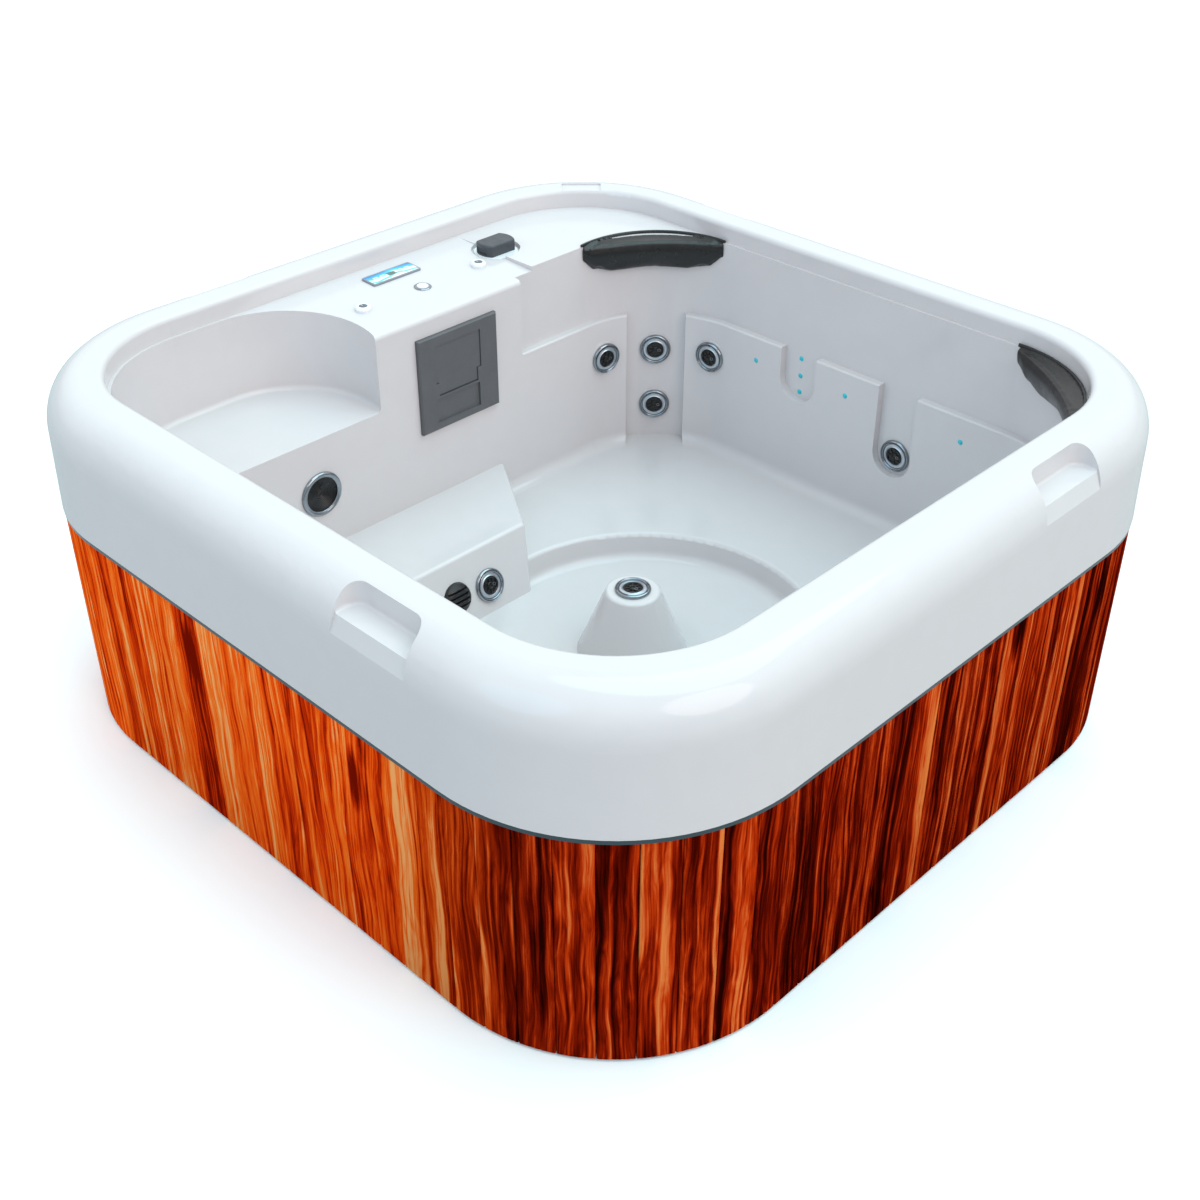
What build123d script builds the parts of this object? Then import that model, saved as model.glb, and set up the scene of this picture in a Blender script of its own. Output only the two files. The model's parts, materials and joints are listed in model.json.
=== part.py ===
from build123d import *
import os
from math import asin, atan2, cos, degrees, hypot, radians, sin, sqrt, tan

# Hot tub, modelled in millimetres. Origin on the ground under the middle of the tub,
# Z up, +X towards the right-hand seats, -X towards the controls, +Y towards the long seat.

# Overall sizes over the lip of the rim
tub_length = 2006.0
tub_width = 1918.0
tub_height = 842.0
rim_corner_radius = 434.0

# Rim: a drafted outer wall that turns into a broad bullnose
lip_height = 558.0
rim_wall_draft = 5.0
bullnose_rise = 104.0
bullnose_run = 83.0
rim_inner_inset = 140.0
rim_inner_rounding = 14.0

# Laminate of the shell, and the ledge inside the rim
shell_wall = 8.0
deck_height = 792.5
well_inset = 147.0

# Backrests, benches and the rounded corner between the two long seats
backrest_depth = 22.0
backrest_height = 577.0
backrest_rounding = 5.0
bench_height = 195.0
seat_fillet = 32.0
far_corner_radius = 272.0
far_wall_x = -570.0
near_corner_radius = 60.0
corner_strip_width = 160.0
corner_strip_angle = 135.0
notch_radius = 57.0
high_notch = (-40.0, 498.0)
low_notch = (272.0, 397.0)

# Raised seat at the left-hand end
cooling_seat_height = 583.0
cooling_seat_radius = 235.0
cooling_seat_centre_y = -400.0
cooling_seat_fillet = 12.0

# Deck that carries the controls and falls towards the water
control_deck_fall = 12.5
control_deck_end_y = 350.0
control_deck_rounding = 14.0
control_block_end_y = 290.0

# Higher bench below the controls, with a leaning front and a slanted end
step_bench_height = 290.0
step_bench_front_x = -287.0
step_bench_lean = 19.0
step_bench_wall_y = 210.0
step_bench_corner_y = 40.0
step_bench_rounding = 12.0

# Foot well with a cone in the middle
footwell_height = 128.0
footwell_radius = 410.0
footwell_centre = (140.0, 25.0)
footwell_corner_radius = 120.0
footwell_draft = 8.0
footwell_fillet = 24.0
footwell_edge_rounding = 12.0
cone_centre = (118.0, 6.0)
cone_height = 168.0
cone_top_radius = 64.0
cone_side = 22.0
cone_rounding = 9.0

# Grips let into the outside of the bullnose, and the overflow dip in the rim
grip_length = 200.0
grip_inset = 71.0
grip_floor_height = 790.0
grip_sill_height = 735.0
grip_corner_radius = 35.0
grip_floor_rounding = 7.0
grip_offset_front = 390.0
grip_offset_side = 337.0
overflow_width = 107.0
overflow_depth = 4.0

# Clearances
seat_gap = 0.2
running_gap = 0.08
soft_gap = 0.3

# Skirt boards, trim strip and the frame behind them
skirt_inset = 3.0
board_thickness = 18.0
board_target_width = 75.0
board_bevel = 2.5
board_gap = 0.6
skirt_foot = 6.0
trim_height = 10.0
trim_inset = 1.0
trim_depth = 20.0
tray_thickness = 12.0
girt_thickness = 20.0
girt_height = 40.0
girt_feet = (12.0, 260.0, 500.0)
stud_width = 38.0
top_rail_height = 38.0
top_rail_width = 34.0
top_rail_inset = 90.0
stud_offset_long = 520.0
stud_offset_short = 470.0

# Service panel in the left-hand side
panel_boards = 6
panel_back_thickness = 12.0
panel_back_margin = 4.0
panel_screw_radius = 2.5
panel_screw_head = 6.5
panel_screw_head_height = 2.5
panel_screw_inset = 12.0
panel_screw_height = 18.0

# Foam blocks that carry the foot well and the benches
support_ring_outer = 340.0
support_ring_inner = 200.0
support_channel = 90.0
support_block = (120.0, 80.0)

# Jets: bezel, insert that turns, barrel and back nut
jet_bezel_radius = 43.0
jet_bezel_height = 9.0
jet_bezel_edge = 3.0
jet_face_radius = 33.0
jet_face_recess = 1.5
jet_eye_radius = 21.5
jet_eye_depth = 3.0
jet_port_radius = 7.0
jet_port_offset = 10.0
jet_barrel_radius = 30.0
jet_barrel_wall = 3.5
jet_barrel_length = 55.0
jet_insert_length = 30.0
jet_barb_radius = 11.0
jet_barb_reach = 42.0
jet_nut_radius = 38.0
jet_nut_height = 10.0
jet_pad_radius = 46.5

# Places of the jets
corner_jet_heights = (463.0, 295.0)
left_panel_jet = (169.0, 467.0)
back_panel_jet = (98.5, 472.0)
notch_jet = (271.0, 391.0)
bench_jet = (-115.0, 192.0)

# Air injectors in the long backrest: x and height, in the notch and on the panels
injector_head_radius = 7.0
injector_head_height = 3.0
injector_stem_radius = 5.0
injector_stem_length = 24.0
notch_injectors = ((-47.0, 554.0), (-46.0, 505.0), (-45.0, 459.0))
panel_injectors = ((-179.0, 512.0), (115.0, 512.0), (463.0, 512.0))

# Suction cover in the front of the step bench
suction_place = (-216.0, 200.0)
suction_radius = 40.0
suction_dome = 14.0
suction_slots = 4
suction_slot_width = 5.0
suction_tail_radius = 24.0
suction_tail_length = 60.0

# Underwater light
light_place = (-374.0, 439.0)
light_ring_radius = 57.5
light_ring_bore = 44.0
light_ring_height = 8.0
light_can_radius = 47.0
light_can_depth = 46.0

# Skimmer: plate, weir door, housing and filter
plate_low = (-60.0, 476.0)
plate_high = (194.0, 730.0)
plate_thickness = 12.0
plate_rounding = 3.0
door_low = (-10.0, 567.0)
door_high = (136.0, 701.0)
door_step_height = 603.0
door_step = 9.0
door_thickness = 6.0
door_gap = 1.2
door_pin_radius = 2.5
door_pin_length = 5.0
slot_low = (-11.0, 495.0)
slot_high = (130.0, 560.0)
slot_depth = 6.0
housing_wall = 4.0
housing_depth = 200.0
housing_margin = 6.0
canister_radius = 72.0
canister_foot = 300.0
canister_x = -668.0
filter_radius = 58.0
filter_bore = 24.0
filter_height = 220.0

# Controls on the deck
panel_centre = (-787.0, 70.0)
panel_size = (54.0, 152.0)
panel_height = 5.0
panel_border = 5.0
panel_corner = 6.0
overlay_depth = 2.0
display_size = (18.0, 26.0)
key_size = (11.0, 14.0)
key_pitch = 22.0
key_first = 28.0
key_height = 3.0
key_proud = 1.0
key_travel = 0.8
button_centre = (-682.0, 83.0)
button_bezel_radius = 22.0
button_bezel_height = 3.0
button_radius = 15.0
button_proud = 1.5
button_travel = 3.0
button_barrel_radius = 18.0
button_barrel_length = 34.0
valve_places = ((-678.0, -107.0), (-683.0, 269.0))
valve_flange_radius = 18.5
valve_flange_height = 3.0
valve_barrel_radius = 14.0
valve_barrel_length = 40.0
valve_spigot_radius = 8.0
valve_spigot_height = 6.0
cap_radius = 19.5
cap_top_radius = 10.5
cap_height = 9.5
cap_dish = 1.2

# Diverter in its round pocket
diverter_centre = (-729.0, 371.0)
pocket_radius = 64.0
pocket_depth = 12.0
diverter_flange_radius = 57.0
diverter_flange_height = 4.0
diverter_barrel_radius = 40.0
diverter_barrel_length = 66.0
diverter_spindle_radius = 14.0
diverter_spindle_height = 20.0
handle_radius = 50.0
handle_width = 62.0
handle_height = 30.0
handle_rounding = 5.0
handle_grip_depth = 5.0

# Head pillows
pillow_chord = 376.0
pillow_thickness = 50.0
pillow_end_thickness = 9.0
pillow_lip_height = 8.0
pillow_front_drop = 3.0
pillow_bulge = 6.0
pillow_stations = (-1.0, -0.8, -0.45, 0.0, 0.45, 0.8, 1.0)
pillow_depths = (32.0, 74.0, 91.0, 85.0, 91.0, 74.0, 32.0)
far_pillow_angle = 139.0
far_pillow_lip = 12.0
right_pillow_angle = 50.0
right_pillow_lip = 1.0
pillow_lip_end = 4.0

# Machinery in the bay behind the controls
pump_x = -690.0
pump_axis_height = 112.0
volute_radius = 95.0
volute_y = (-190.0, -110.0)
pump_port_radius = 30.0
pump_port_length = 35.0
discharge_height = 215.0
motor_radius = 72.0
motor_end_y = 110.0
pipe_radius = 24.0
pipe_bend = 42.0
heater_radius = 32.0
heater_axis_height = 262.0
heater_y = (200.0, 430.0)
control_box_x = (-790.0, -600.0)
control_box_y = (215.0, 415.0)
blower_centre = (-790.0, -430.0)
blower_radius = 75.0
blower_height = 118.0
drain_place = (-300.0, 78.0)
drain_radius = 22.0
drain_length = 60.0
gland_place = (300.0, 78.0)
gland_radius = 13.0
gland_length = 50.0

# Sizes that follow from those above
half_length = tub_length / 2
half_width = tub_width / 2
inner_half_length = half_length - rim_inner_inset
inner_half_width = half_width - rim_inner_inset
inner_corner_radius = rim_corner_radius - rim_inner_inset
well_half_length = half_length - well_inset
well_half_width = half_width - well_inset
well_corner_radius = rim_corner_radius - well_inset
rim_corner_x = half_length - rim_corner_radius
rim_corner_y = half_width - rim_corner_radius
far_centre_x = far_wall_x + far_corner_radius
far_centre_y = well_half_width - far_corner_radius
control_wall_x = far_wall_x + backrest_depth
control_deck_back_x = -inner_half_length + rim_inner_rounding
control_deck_slope = degrees(atan2(control_deck_fall, control_wall_x - control_deck_back_x))
cooling_centre_x = -well_half_length + cooling_seat_radius
panel_corner_radius = far_corner_radius - backrest_depth
skirt_top = lip_height - trim_height
girt_inset = skirt_inset + board_thickness + seat_gap
stud_inset = girt_inset + girt_thickness
top_rail_foot = tub_height - shell_wall - top_rail_height
bay_floor = tray_thickness


def box_plan(x0, x1, y0, y1):
    """Plan rectangle between two corners."""
    return Pos((x0 + x1) / 2, (y0 + y1) / 2) * Rectangle(abs(x1 - x0), abs(y1 - y0))


def block(x0, x1, y0, y1, z0, z1):
    """Solid box between two corners."""
    return Pos((x0 + x1) / 2, (y0 + y1) / 2, (z0 + z1) / 2) * Box(abs(x1 - x0), abs(y1 - y0), abs(z1 - z0))


def prism(plan, z0, z1):
    """Upright solid on a plan, between two heights."""
    return extrude(Pos(0, 0, z0) * plan, amount=z1 - z0)


def four_corner_plan(x0, x1, y0, y1, near_left, near_right, far_right, far_left):
    """Plan rectangle whose four corners have their own radii, where 0 leaves a corner sharp."""
    plan = box_plan(x0, x1, y0, y1)
    corners = ((x0, y0), (x1, y0), (x1, y1), (x0, y1))
    for corner, radius in zip(corners, (near_left, near_right, far_right, far_left)):
        if radius > 0:
            plan = fillet(plan.vertices().sort_by_distance(corner)[0], radius)
    return plan


def inset_plan(inset):
    """Plan of the tub, drawn in from the lip by an even inset."""
    return RectangleRounded(2 * (half_length - inset), 2 * (half_width - inset), rim_corner_radius - inset)


def turned(outline):
    """Solid of revolution about Z from a closed outline of radius and height."""
    section = make_face(Polyline(*[(radius, 0, z) for radius, z in outline], close=True))
    return revolve(section, axis=Axis.Z)


def drum(radius, z0, z1):
    """Upright round bar between two heights."""
    return Pos(0, 0, (z0 + z1) / 2) * Cylinder(radius, z1 - z0)


def polar(radius, angle):
    """Plan point at a radius and an angle in degrees."""
    return (radius * cos(radians(angle)), radius * sin(radians(angle)))


def facing(origin, outward):
    """Place on a wall: Z looks out of the wall into the tub, and Y looks up it."""
    nx, ny, nz = outward
    level = (1, 0, 0) if hypot(nx, ny) < 0.01 else (-ny, nx, 0)
    return Location(Plane(origin=origin, x_dir=level, z_dir=outward))


def level_edges(form, z):
    """Edges that lie level at a height."""
    found = []
    for edge in form.edges():
        box = edge.bounding_box()
        if abs(box.min.Z - z) < 0.01 and abs(box.max.Z - z) < 0.01:
            found.append(edge)
    return found


def distance_to_outline(edge, plan):
    """Plan distance from the middle of an edge to the outline of a plan."""
    middle = edge @ 0.5
    return min(wire.distance_to(Vertex(middle.X, middle.Y, 0)) for wire in plan.wires())


# Shell


def rounded_loop(half_x, half_y, radius):
    """Closed plan loop that starts in the middle of the right-hand side."""
    corner = radius * (1 - cos(radians(45)))
    start = (half_x, 0)
    edges = []
    for sx, sy in ((1, 1), (-1, 1), (-1, -1), (1, -1)):
        on_side = (sx * half_x, sy * (half_y - radius))
        on_end = (sx * (half_x - radius), sy * half_y)
        first, last = (on_side, on_end) if sx == sy else (on_end, on_side)
        middle = (sx * (half_x - corner), sy * (half_y - corner))
        edges.append(Line(start, first))
        edges.append(ThreePointArc(first, middle, last))
        start = last
    edges.append(Line(start, (half_x, 0)))
    return Wire([edge.edge() for edge in edges])


def rim_line(o):
    """Section line of the rim from the lip to the deck, set in by o."""
    x_flat = half_length - rim_wall_draft - bullnose_run
    z_spring = tub_height - bullnose_rise
    x_inner = half_length - rim_inner_inset + o
    rounding = max(rim_inner_rounding - o, 2)
    x_top = half_length - rim_wall_draft - o
    top = tub_height - o
    wall = Line((half_length - o, lip_height), (x_top, z_spring))
    nose = EllipticalCenterArc((x_flat, z_spring), bullnose_run - o, bullnose_rise - o, arc_size=90)
    flat = Line(nose @ 1, (x_inner + rounding, top))
    inner = CenterArc((x_inner + rounding, top - rounding), rounding, 90, 90)
    band = Line(inner @ 1, (x_inner, deck_height - shell_wall))
    return [wall, nose, flat, inner, band]


def rim():
    """Thin rim, swept round the tub."""
    outer = rim_line(0)
    under = rim_line(shell_wall)
    foot = Line(outer[0] @ 0, under[0] @ 0)
    head = Line(outer[-1] @ 1, under[-1] @ 1)
    section = make_face(Plane.XZ * Curve(outer + under + [foot, head]))
    return sweep(section, path=rounded_loop(half_length, half_width, rim_corner_radius))


def rim_body():
    """The rim as a full block under its outer face, which bounds the walls of the grips."""
    outer = rim_line(0)
    foot = Line(outer[0] @ 0, (inner_half_length, lip_height))
    back = Line(foot @ 1, outer[-1] @ 1)
    section = make_face(Plane.XZ * Curve(outer + [foot, back]))
    return sweep(section, path=rounded_loop(half_length, half_width, rim_corner_radius))


def well_plan(o):
    """Plan of the upper well, above the backrests."""
    plan = four_corner_plan(
        far_wall_x - o, well_half_length + o, -well_half_width - o, well_half_width + o,
        0, well_corner_radius + o, well_corner_radius + o, far_corner_radius + o,
    )
    control_block = box_plan(
        far_wall_x - 2 * shell_wall, control_wall_x - o, -half_width, control_block_end_y - o
    )
    return plan - control_block


def lower_well_plan(o):
    """Plan of the well between the backrests."""
    i = o - backrest_depth
    return four_corner_plan(
        control_wall_x - o, well_half_length + i, -well_half_width - i, well_half_width + i,
        near_corner_radius + o, well_corner_radius + i, well_corner_radius + i, far_corner_radius + i,
    )


def cooling_plan(o):
    """Plan of the raised seat at the left-hand end."""
    room = RectangleRounded(2 * (well_half_length + o), 2 * (well_half_width + o), well_corner_radius + o)
    mouth_x = control_wall_x + backrest_depth
    straight = room & box_plan(-half_length, mouth_x, -half_width, cooling_seat_centre_y)
    round_end = Pos(cooling_centre_x, cooling_seat_centre_y) * Circle(cooling_seat_radius + o)
    round_end = round_end & box_plan(-half_length, mouth_x, cooling_seat_centre_y - 1, 0)
    return straight + round_end


def strip_plan(o):
    """Plan of the upright channel in the far corner, between the backrests."""
    width = corner_strip_width + 2 * o
    reach = far_corner_radius + o
    centre = Pos(far_centre_x, far_centre_y)
    bar = centre * Rot(0, 0, corner_strip_angle) * Pos(reach / 2, 0) * Rectangle(reach, width)
    return bar & (centre * Circle(reach))


def notch(place, o):
    """Round-bottomed notch in the long backrest."""
    x, z = place
    radius = notch_radius + o
    y1 = well_half_width + o
    y0 = well_half_width - 2 * backrest_depth
    top = backrest_height + 1
    hole = Pos(x, (y0 + y1) / 2, z) * Rot(90, 0, 0) * Cylinder(radius, y1 - y0)
    return hole + block(x - radius, x + radius, y0, y1, z, top)


def footwell(o):
    """Round foot well, squared off where it meets the step bench."""
    x, y = footwell_centre
    radius = footwell_radius + o
    squared = box_plan(x - radius, x, y - radius, y)
    corner = squared.vertices().sort_by_distance((x - radius, y - radius))[0]
    plan = Pos(x, y) * Circle(radius) + fillet(corner, footwell_corner_radius + o)
    depth = bench_height - footwell_height + o
    form = extrude(Pos(0, 0, bench_height) * plan, amount=depth, dir=(0, 0, -1), taper=footwell_draft)
    form = fillet(form.edges().group_by(Axis.Z)[0], footwell_fillet)
    return form + prism(plan, bench_height, bench_height + 2)


def step_bench(o, rounding):
    """The higher bench, with its leaning front and slanted end."""
    top = step_bench_height - o
    lean = tan(radians(step_bench_lean))
    foot = footwell_height - 5 * shell_wall
    front = step_bench_front_x - o / cos(radians(step_bench_lean)) + o * lean
    back = control_wall_x - 5 * shell_wall
    corners = ((back, foot), (front + lean * (top - foot), foot), (front, top), (back, top))
    section = make_face(Polyline(*corners, close=True))
    end_y = step_bench_wall_y + near_corner_radius
    start_y = -well_half_width - near_corner_radius
    form = extrude(Plane.XZ.offset(-start_y) * section, amount=start_y - end_y)
    run = step_bench_front_x - control_wall_x
    rise = step_bench_wall_y - step_bench_corner_y
    slope = hypot(run, rise)
    corner = Pos(control_wall_x - o * rise / slope, step_bench_wall_y - o * run / slope, 0)
    turn = Rot(0, 0, -degrees(atan2(rise, run)))
    form -= corner * turn * Pos(0, footwell_radius, top / 2) * Box(4 * run, 2 * footwell_radius, 2 * top)
    if rounding > 0:
        form = fillet(step_bench_edges(form), rounding)
    return form


def step_bench_edges(form):
    """Edges of the step bench that show in the tub."""
    found = []
    for edge in form.edges():
        middle = edge @ 0.5
        inside = middle.X > control_wall_x + 5 and middle.Y > -well_half_width
        on_top = edge.bounding_box().min.Z > step_bench_height - 0.1
        corner = edge @ 0
        upright = abs(corner.Z - (edge @ 1).Z) > step_bench_height / 2 and middle.X > step_bench_front_x
        if inside and (on_top or (upright and middle.Y > -well_half_width / 2)):
            found.append(edge)
    return found


def cone(o):
    """Cone in the middle of the foot well."""
    x, y = cone_centre
    root = shell_wall * 5
    height = cone_height + root
    spread = height * tan(radians(cone_side))
    top_radius = cone_top_radius - o
    foot = Pos(x, y, footwell_height - root - o)
    form = foot * Cone(top_radius + spread, top_radius, height, align=(Align.CENTER, Align.CENTER, Align.MIN))
    if o == 0:
        form = fillet(form.edges().group_by(Axis.Z)[-1], cone_rounding)
    return form


def deck_fall(o):
    """Wedge that lets the control deck fall towards the water."""
    x1 = control_wall_x + rim_inner_rounding
    slope = tan(radians(control_deck_slope))
    z = deck_height - o
    corners = ((control_deck_back_x, z), (x1, z), (x1, z - slope * (x1 - control_deck_back_x)))
    section = make_face(Polyline(*corners, close=True))
    start = cooling_seat_centre_y
    return extrude(Plane.XZ.offset(-start) * section, amount=start - control_deck_end_y - o)


def deck_pocket(o):
    """Round pocket of the diverter."""
    return Pos(*diverter_centre, 0) * drum(pocket_radius + o, deck_height - pocket_depth - o, deck_height + 1)


def lower_form(o):
    """Everything below the tops of the backrests."""
    form = prism(lower_well_plan(o), bench_height - o, backrest_height + 1)
    form = fillet(form.edges().group_by(Axis.Z)[0], seat_fillet)
    return form + footwell(o)


def round_footwell_edge(form):
    """Soften the rim of the foot well, away from the walls."""
    x, y = footwell_centre
    outline = lower_well_plan(0)
    edges = []
    for edge in level_edges(form, bench_height):
        middle = edge @ 0.5
        near = hypot(middle.X - x, middle.Y - y) < 1.3 * footwell_radius
        if near and distance_to_outline(edge, outline) > 1.5 * seat_fillet:
            edges.append(edge)
    return fillet(edges, footwell_edge_rounding)


def round_backrests(form):
    """Soften the ledge on top of the backrests."""
    outline = well_plan(0)
    ledge = [edge for edge in level_edges(form, backrest_height) if distance_to_outline(edge, outline) > 0.01]
    return fillet(ledge, backrest_rounding)


def band_plan(o):
    """Plan inside the rim."""
    return RectangleRounded(2 * (inner_half_length + o), 2 * (inner_half_width + o), inner_corner_radius + o)


def cooling_seat(o):
    """Space over the raised seat."""
    form = prism(cooling_plan(o), cooling_seat_height - o, deck_height + 1)
    return fillet(form.edges().group_by(Axis.Z)[0], cooling_seat_fillet)


def tub_space(o):
    """The space that the shell leaves open or, with o, the same space grown by the wall."""
    form = lower_form(o)
    if o == 0:
        form = round_footwell_edge(form)
    form += prism(well_plan(o), backrest_height - o, deck_height + 1)
    if o == 0:
        form = round_backrests(form)
    form += prism(strip_plan(o), bench_height - o, backrest_height + 1)
    form += notch(high_notch, o)
    form += notch(low_notch, o)
    form += cooling_seat(o)
    form += deck_fall(o)
    form += deck_pocket(o)
    form -= step_bench(o, step_bench_rounding if o == 0 else 0)
    form -= cone(o)
    return form + prism(band_plan(o), deck_height - o, tub_height - rim_inner_rounding - 4)


def grip_section(o, inset):
    """Section through a grip, as distance outwards from the tub's middle and height."""
    back = inset - o
    sill = inset + grip_inset - 2 * shell_wall - o
    knee = inset + grip_inset * 0.73 - o / 2
    floor = grip_floor_height - o
    out = inset + grip_inset + shell_wall
    high = tub_height + shell_wall
    corners = (
        (back, high), (back, floor), (knee, floor - 5), (sill + 2 * shell_wall, grip_sill_height - o),
        (out, grip_sill_height - o), (out, high),
    )
    return make_face(Polyline(*corners, close=True))


def grip_space(side, offset, o):
    """Space of one grip, let into the bullnose of a side."""
    distance = (half_length if side in (0, 180) else half_width) - grip_inset
    length = grip_length + 2 * o
    form = extrude(Plane.XZ.offset(-length / 2) * grip_section(o, distance), amount=length)
    back_edges = [
        edge for edge in form.edges().filter_by(Axis.Z) if abs((edge @ 0.5).X - distance + o) < 0.1
    ]
    form = fillet(back_edges, grip_corner_radius + o)
    floor_edges = []
    for edge in form.edges():
        box = edge.bounding_box()
        if abs(box.max.Z - grip_floor_height + o) < 0.1 and box.min.X < distance + grip_corner_radius:
            if box.max.Z - box.min.Z < grip_inset / 4 and box.max.X < distance + grip_inset * 0.7:
                floor_edges.append(edge)
    if o == 0:
        form = fillet(floor_edges, grip_floor_rounding)
    return Rot(0, 0, side) * Pos(0, offset, 0) * form


def grip_places():
    """Side of the tub and offset along it for the four grips."""
    return ((-90, grip_offset_front), (0, grip_offset_side), (90, grip_offset_front), (180, grip_offset_side))


def overflow():
    """Shallow dip across the rim at the far left corner."""
    x, y = -rim_corner_x, rim_corner_y
    inner = inner_corner_radius - rim_inner_rounding
    outer = rim_corner_radius - rim_wall_draft - bullnose_run - overflow_depth
    middle = Pos(x, y) * Rot(0, 0, corner_strip_angle) * Pos((inner + outer) / 2, 0)
    return prism(middle * Rectangle(outer - inner, overflow_width), tub_height - overflow_depth, tub_height + 1)


def jet_places():
    """Place of each jet, with the distance from its seat to the back of the shell."""
    places = []
    chords = ((far_corner_radius, corner_strip_angle, corner_jet_heights[0]),
              (far_corner_radius, corner_strip_angle, corner_jet_heights[1]),
              (panel_corner_radius, *left_panel_jet), (panel_corner_radius, *back_panel_jet))
    for radius, angle, z in chords:
        seat = sqrt(radius**2 - jet_pad_radius**2)
        dx, dy = polar(1, angle)
        origin = (far_centre_x + seat * dx, far_centre_y + seat * dy, z)
        places.append((facing(origin, (-dx, -dy, 0)), radius + shell_wall - seat))
    x, z = notch_jet
    places.append((facing((x, well_half_width, z), (0, -1, 0)), shell_wall))
    places.append((bench_front_place(*bench_jet), shell_wall))
    top = footwell_height + cone_height
    places.append((facing((*cone_centre, top), (0, 0, 1)), shell_wall))
    return places


def bench_front_place(y, z):
    """Place on the leaning front of the step bench."""
    lean = radians(step_bench_lean)
    x = step_bench_front_x + tan(lean) * (step_bench_height - z)
    return facing((x, y, z), (cos(lean), 0, sin(lean)))


def deck_place(x, y):
    """Place on the falling deck, with Z square to it."""
    slope = radians(control_deck_slope)
    z = deck_height - tan(slope) * (x - control_deck_back_x)
    return Location(Plane(origin=(x, y, z), x_dir=(cos(slope), 0, -sin(slope)), z_dir=(sin(slope), 0, cos(slope))))


def control_wall_place(y, z):
    """Place on the flat wall below the controls."""
    return facing((control_wall_x, y, z), (1, 0, 0))


def injector_places():
    """Places of the air injectors."""
    panel_y = well_half_width - backrest_depth
    places = [facing((x, well_half_width, z), (0, -1, 0)) for x, z in notch_injectors]
    places += [facing((x, panel_y, z), (0, -1, 0)) for x, z in panel_injectors]
    return places


def shell_holes():
    """Everything that is drilled or cut through the finished shell."""
    through = 3 * shell_wall
    holes = [place * drum(jet_barrel_radius + seat_gap, -through, through) for place, _ in jet_places()]
    holes += [place * drum(injector_stem_radius + seat_gap, -through, 1) for place in injector_places()]
    holes.append(bench_front_place(*suction_place) * drum(suction_tail_radius + seat_gap, -through, through))
    holes.append(control_wall_place(*light_place) * drum(light_can_radius + seat_gap, -through, 1))
    margin = housing_margin - housing_wall / 2
    y0, z0 = door_low[0] - margin, door_low[1] - margin
    y1, z1 = door_high[0] + margin, door_high[1] + margin
    holes.append(block(control_wall_x - through, control_wall_x + 1, y0, y1, z0, z1))
    holes += [deck_place(x, y) * drum(valve_barrel_radius + seat_gap, -through, 5) for x, y in valve_places]
    holes.append(deck_place(*button_centre) * drum(button_barrel_radius + seat_gap, -through, 5))
    well = RectangleRounded(panel_size[0] - 4 * panel_border, panel_size[1] - 4 * panel_border, panel_corner)
    holes.append(deck_place(*panel_centre) * extrude(Pos(0, 0, -through) * well, amount=2 * through))
    holes.append(Pos(*diverter_centre, 0) * drum(diverter_barrel_radius + seat_gap, deck_height / 2, deck_height))
    return holes


def shell():
    """Moulded shell: rim, deck, seats, foot well, cone, grips and every opening in it."""
    form = rim() + tub_space(shell_wall) - tub_space(0)
    edge = [e for e in form.edges() if is_deck_edge(e)]
    form = fillet(edge, control_deck_rounding)
    full_rim = rim_body()
    for side, offset in grip_places():
        form += grip_space(side, offset, shell_wall) & full_rim
        form -= grip_space(side, offset, 0)
    form -= overflow()
    for place, back in jet_places():
        if back > shell_wall:
            form += place * drum(jet_pad_radius, -back, 0)
    for hole in shell_holes():
        form -= hole
    return form


def is_deck_edge(edge):
    """True for the long front edge of the control deck."""
    middle = edge @ 0.5
    low = deck_height - control_deck_fall - 2 * shell_wall
    long = edge.length > control_block_end_y
    return long and abs(middle.X - control_wall_x) < 0.5 and low < middle.Z < deck_height and middle.Y > -100


# Base and frame


def base_tray():
    """Moulded floor pan with a bevelled foot."""
    pan = prism(inset_plan(girt_inset), 0, tray_thickness)
    return chamfer(pan.edges().group_by(Axis.Z)[0], tray_thickness / 4)


def service_stud_offset():
    """Distance of the studs beside the service panel from its middle."""
    return panel_half_width() - 0.7 * stud_width


def access_opening(margin):
    """Opening in the frame behind the service panel."""
    half = service_stud_offset() - stud_width / 2 - margin
    z0 = girt_feet[0] + girt_height + margin
    z1 = girt_feet[2] - margin
    return block(-half_length, -half_length + 2 * stud_inset, -half, half, z0, z1)


def girts():
    """Three rings that the boards are fixed to, cut away behind the service panel."""
    ring = inset_plan(girt_inset) - inset_plan(stud_inset)
    rings = [prism(ring, z, z + girt_height) for z in girt_feet]
    rings[1] -= access_opening(0)
    return rings


def stud(distance, angle, offset):
    """Upright that stands on the tray behind the girts and carries the top rail."""
    depth = top_rail_inset + top_rail_width - stud_inset
    centre = distance - stud_inset - depth / 2
    place = Rot(0, 0, angle) * Pos(centre, offset, (tray_thickness + top_rail_foot) / 2)
    return place * Box(depth, stud_width, top_rail_foot - tray_thickness)


def studs():
    """Uprights of the frame."""
    made = []
    for angle in (-90, 90):
        made += [stud(half_width, angle, y) for y in (-stud_offset_long, 0, stud_offset_long)]
    made += [stud(half_length, 0, y) for y in (-stud_offset_short, 0, stud_offset_short)]
    service = service_stud_offset()
    made += [stud(half_length, 180, y) for y in (-stud_offset_short, -service, service, stud_offset_short)]
    bend = rim_corner_radius - stud_inset
    bend_gap = bend - sqrt((bend - seat_gap) ** 2 - (stud_width / 2) ** 2)
    for sx, sy in ((1, 1), (-1, 1), (-1, -1), (1, -1)):
        angle = degrees(atan2(sy, sx))
        corner = Pos(sx * rim_corner_x, sy * rim_corner_y, 0)
        made.append(corner * stud(rim_corner_radius - bend_gap, angle, 0))
    return made


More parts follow.
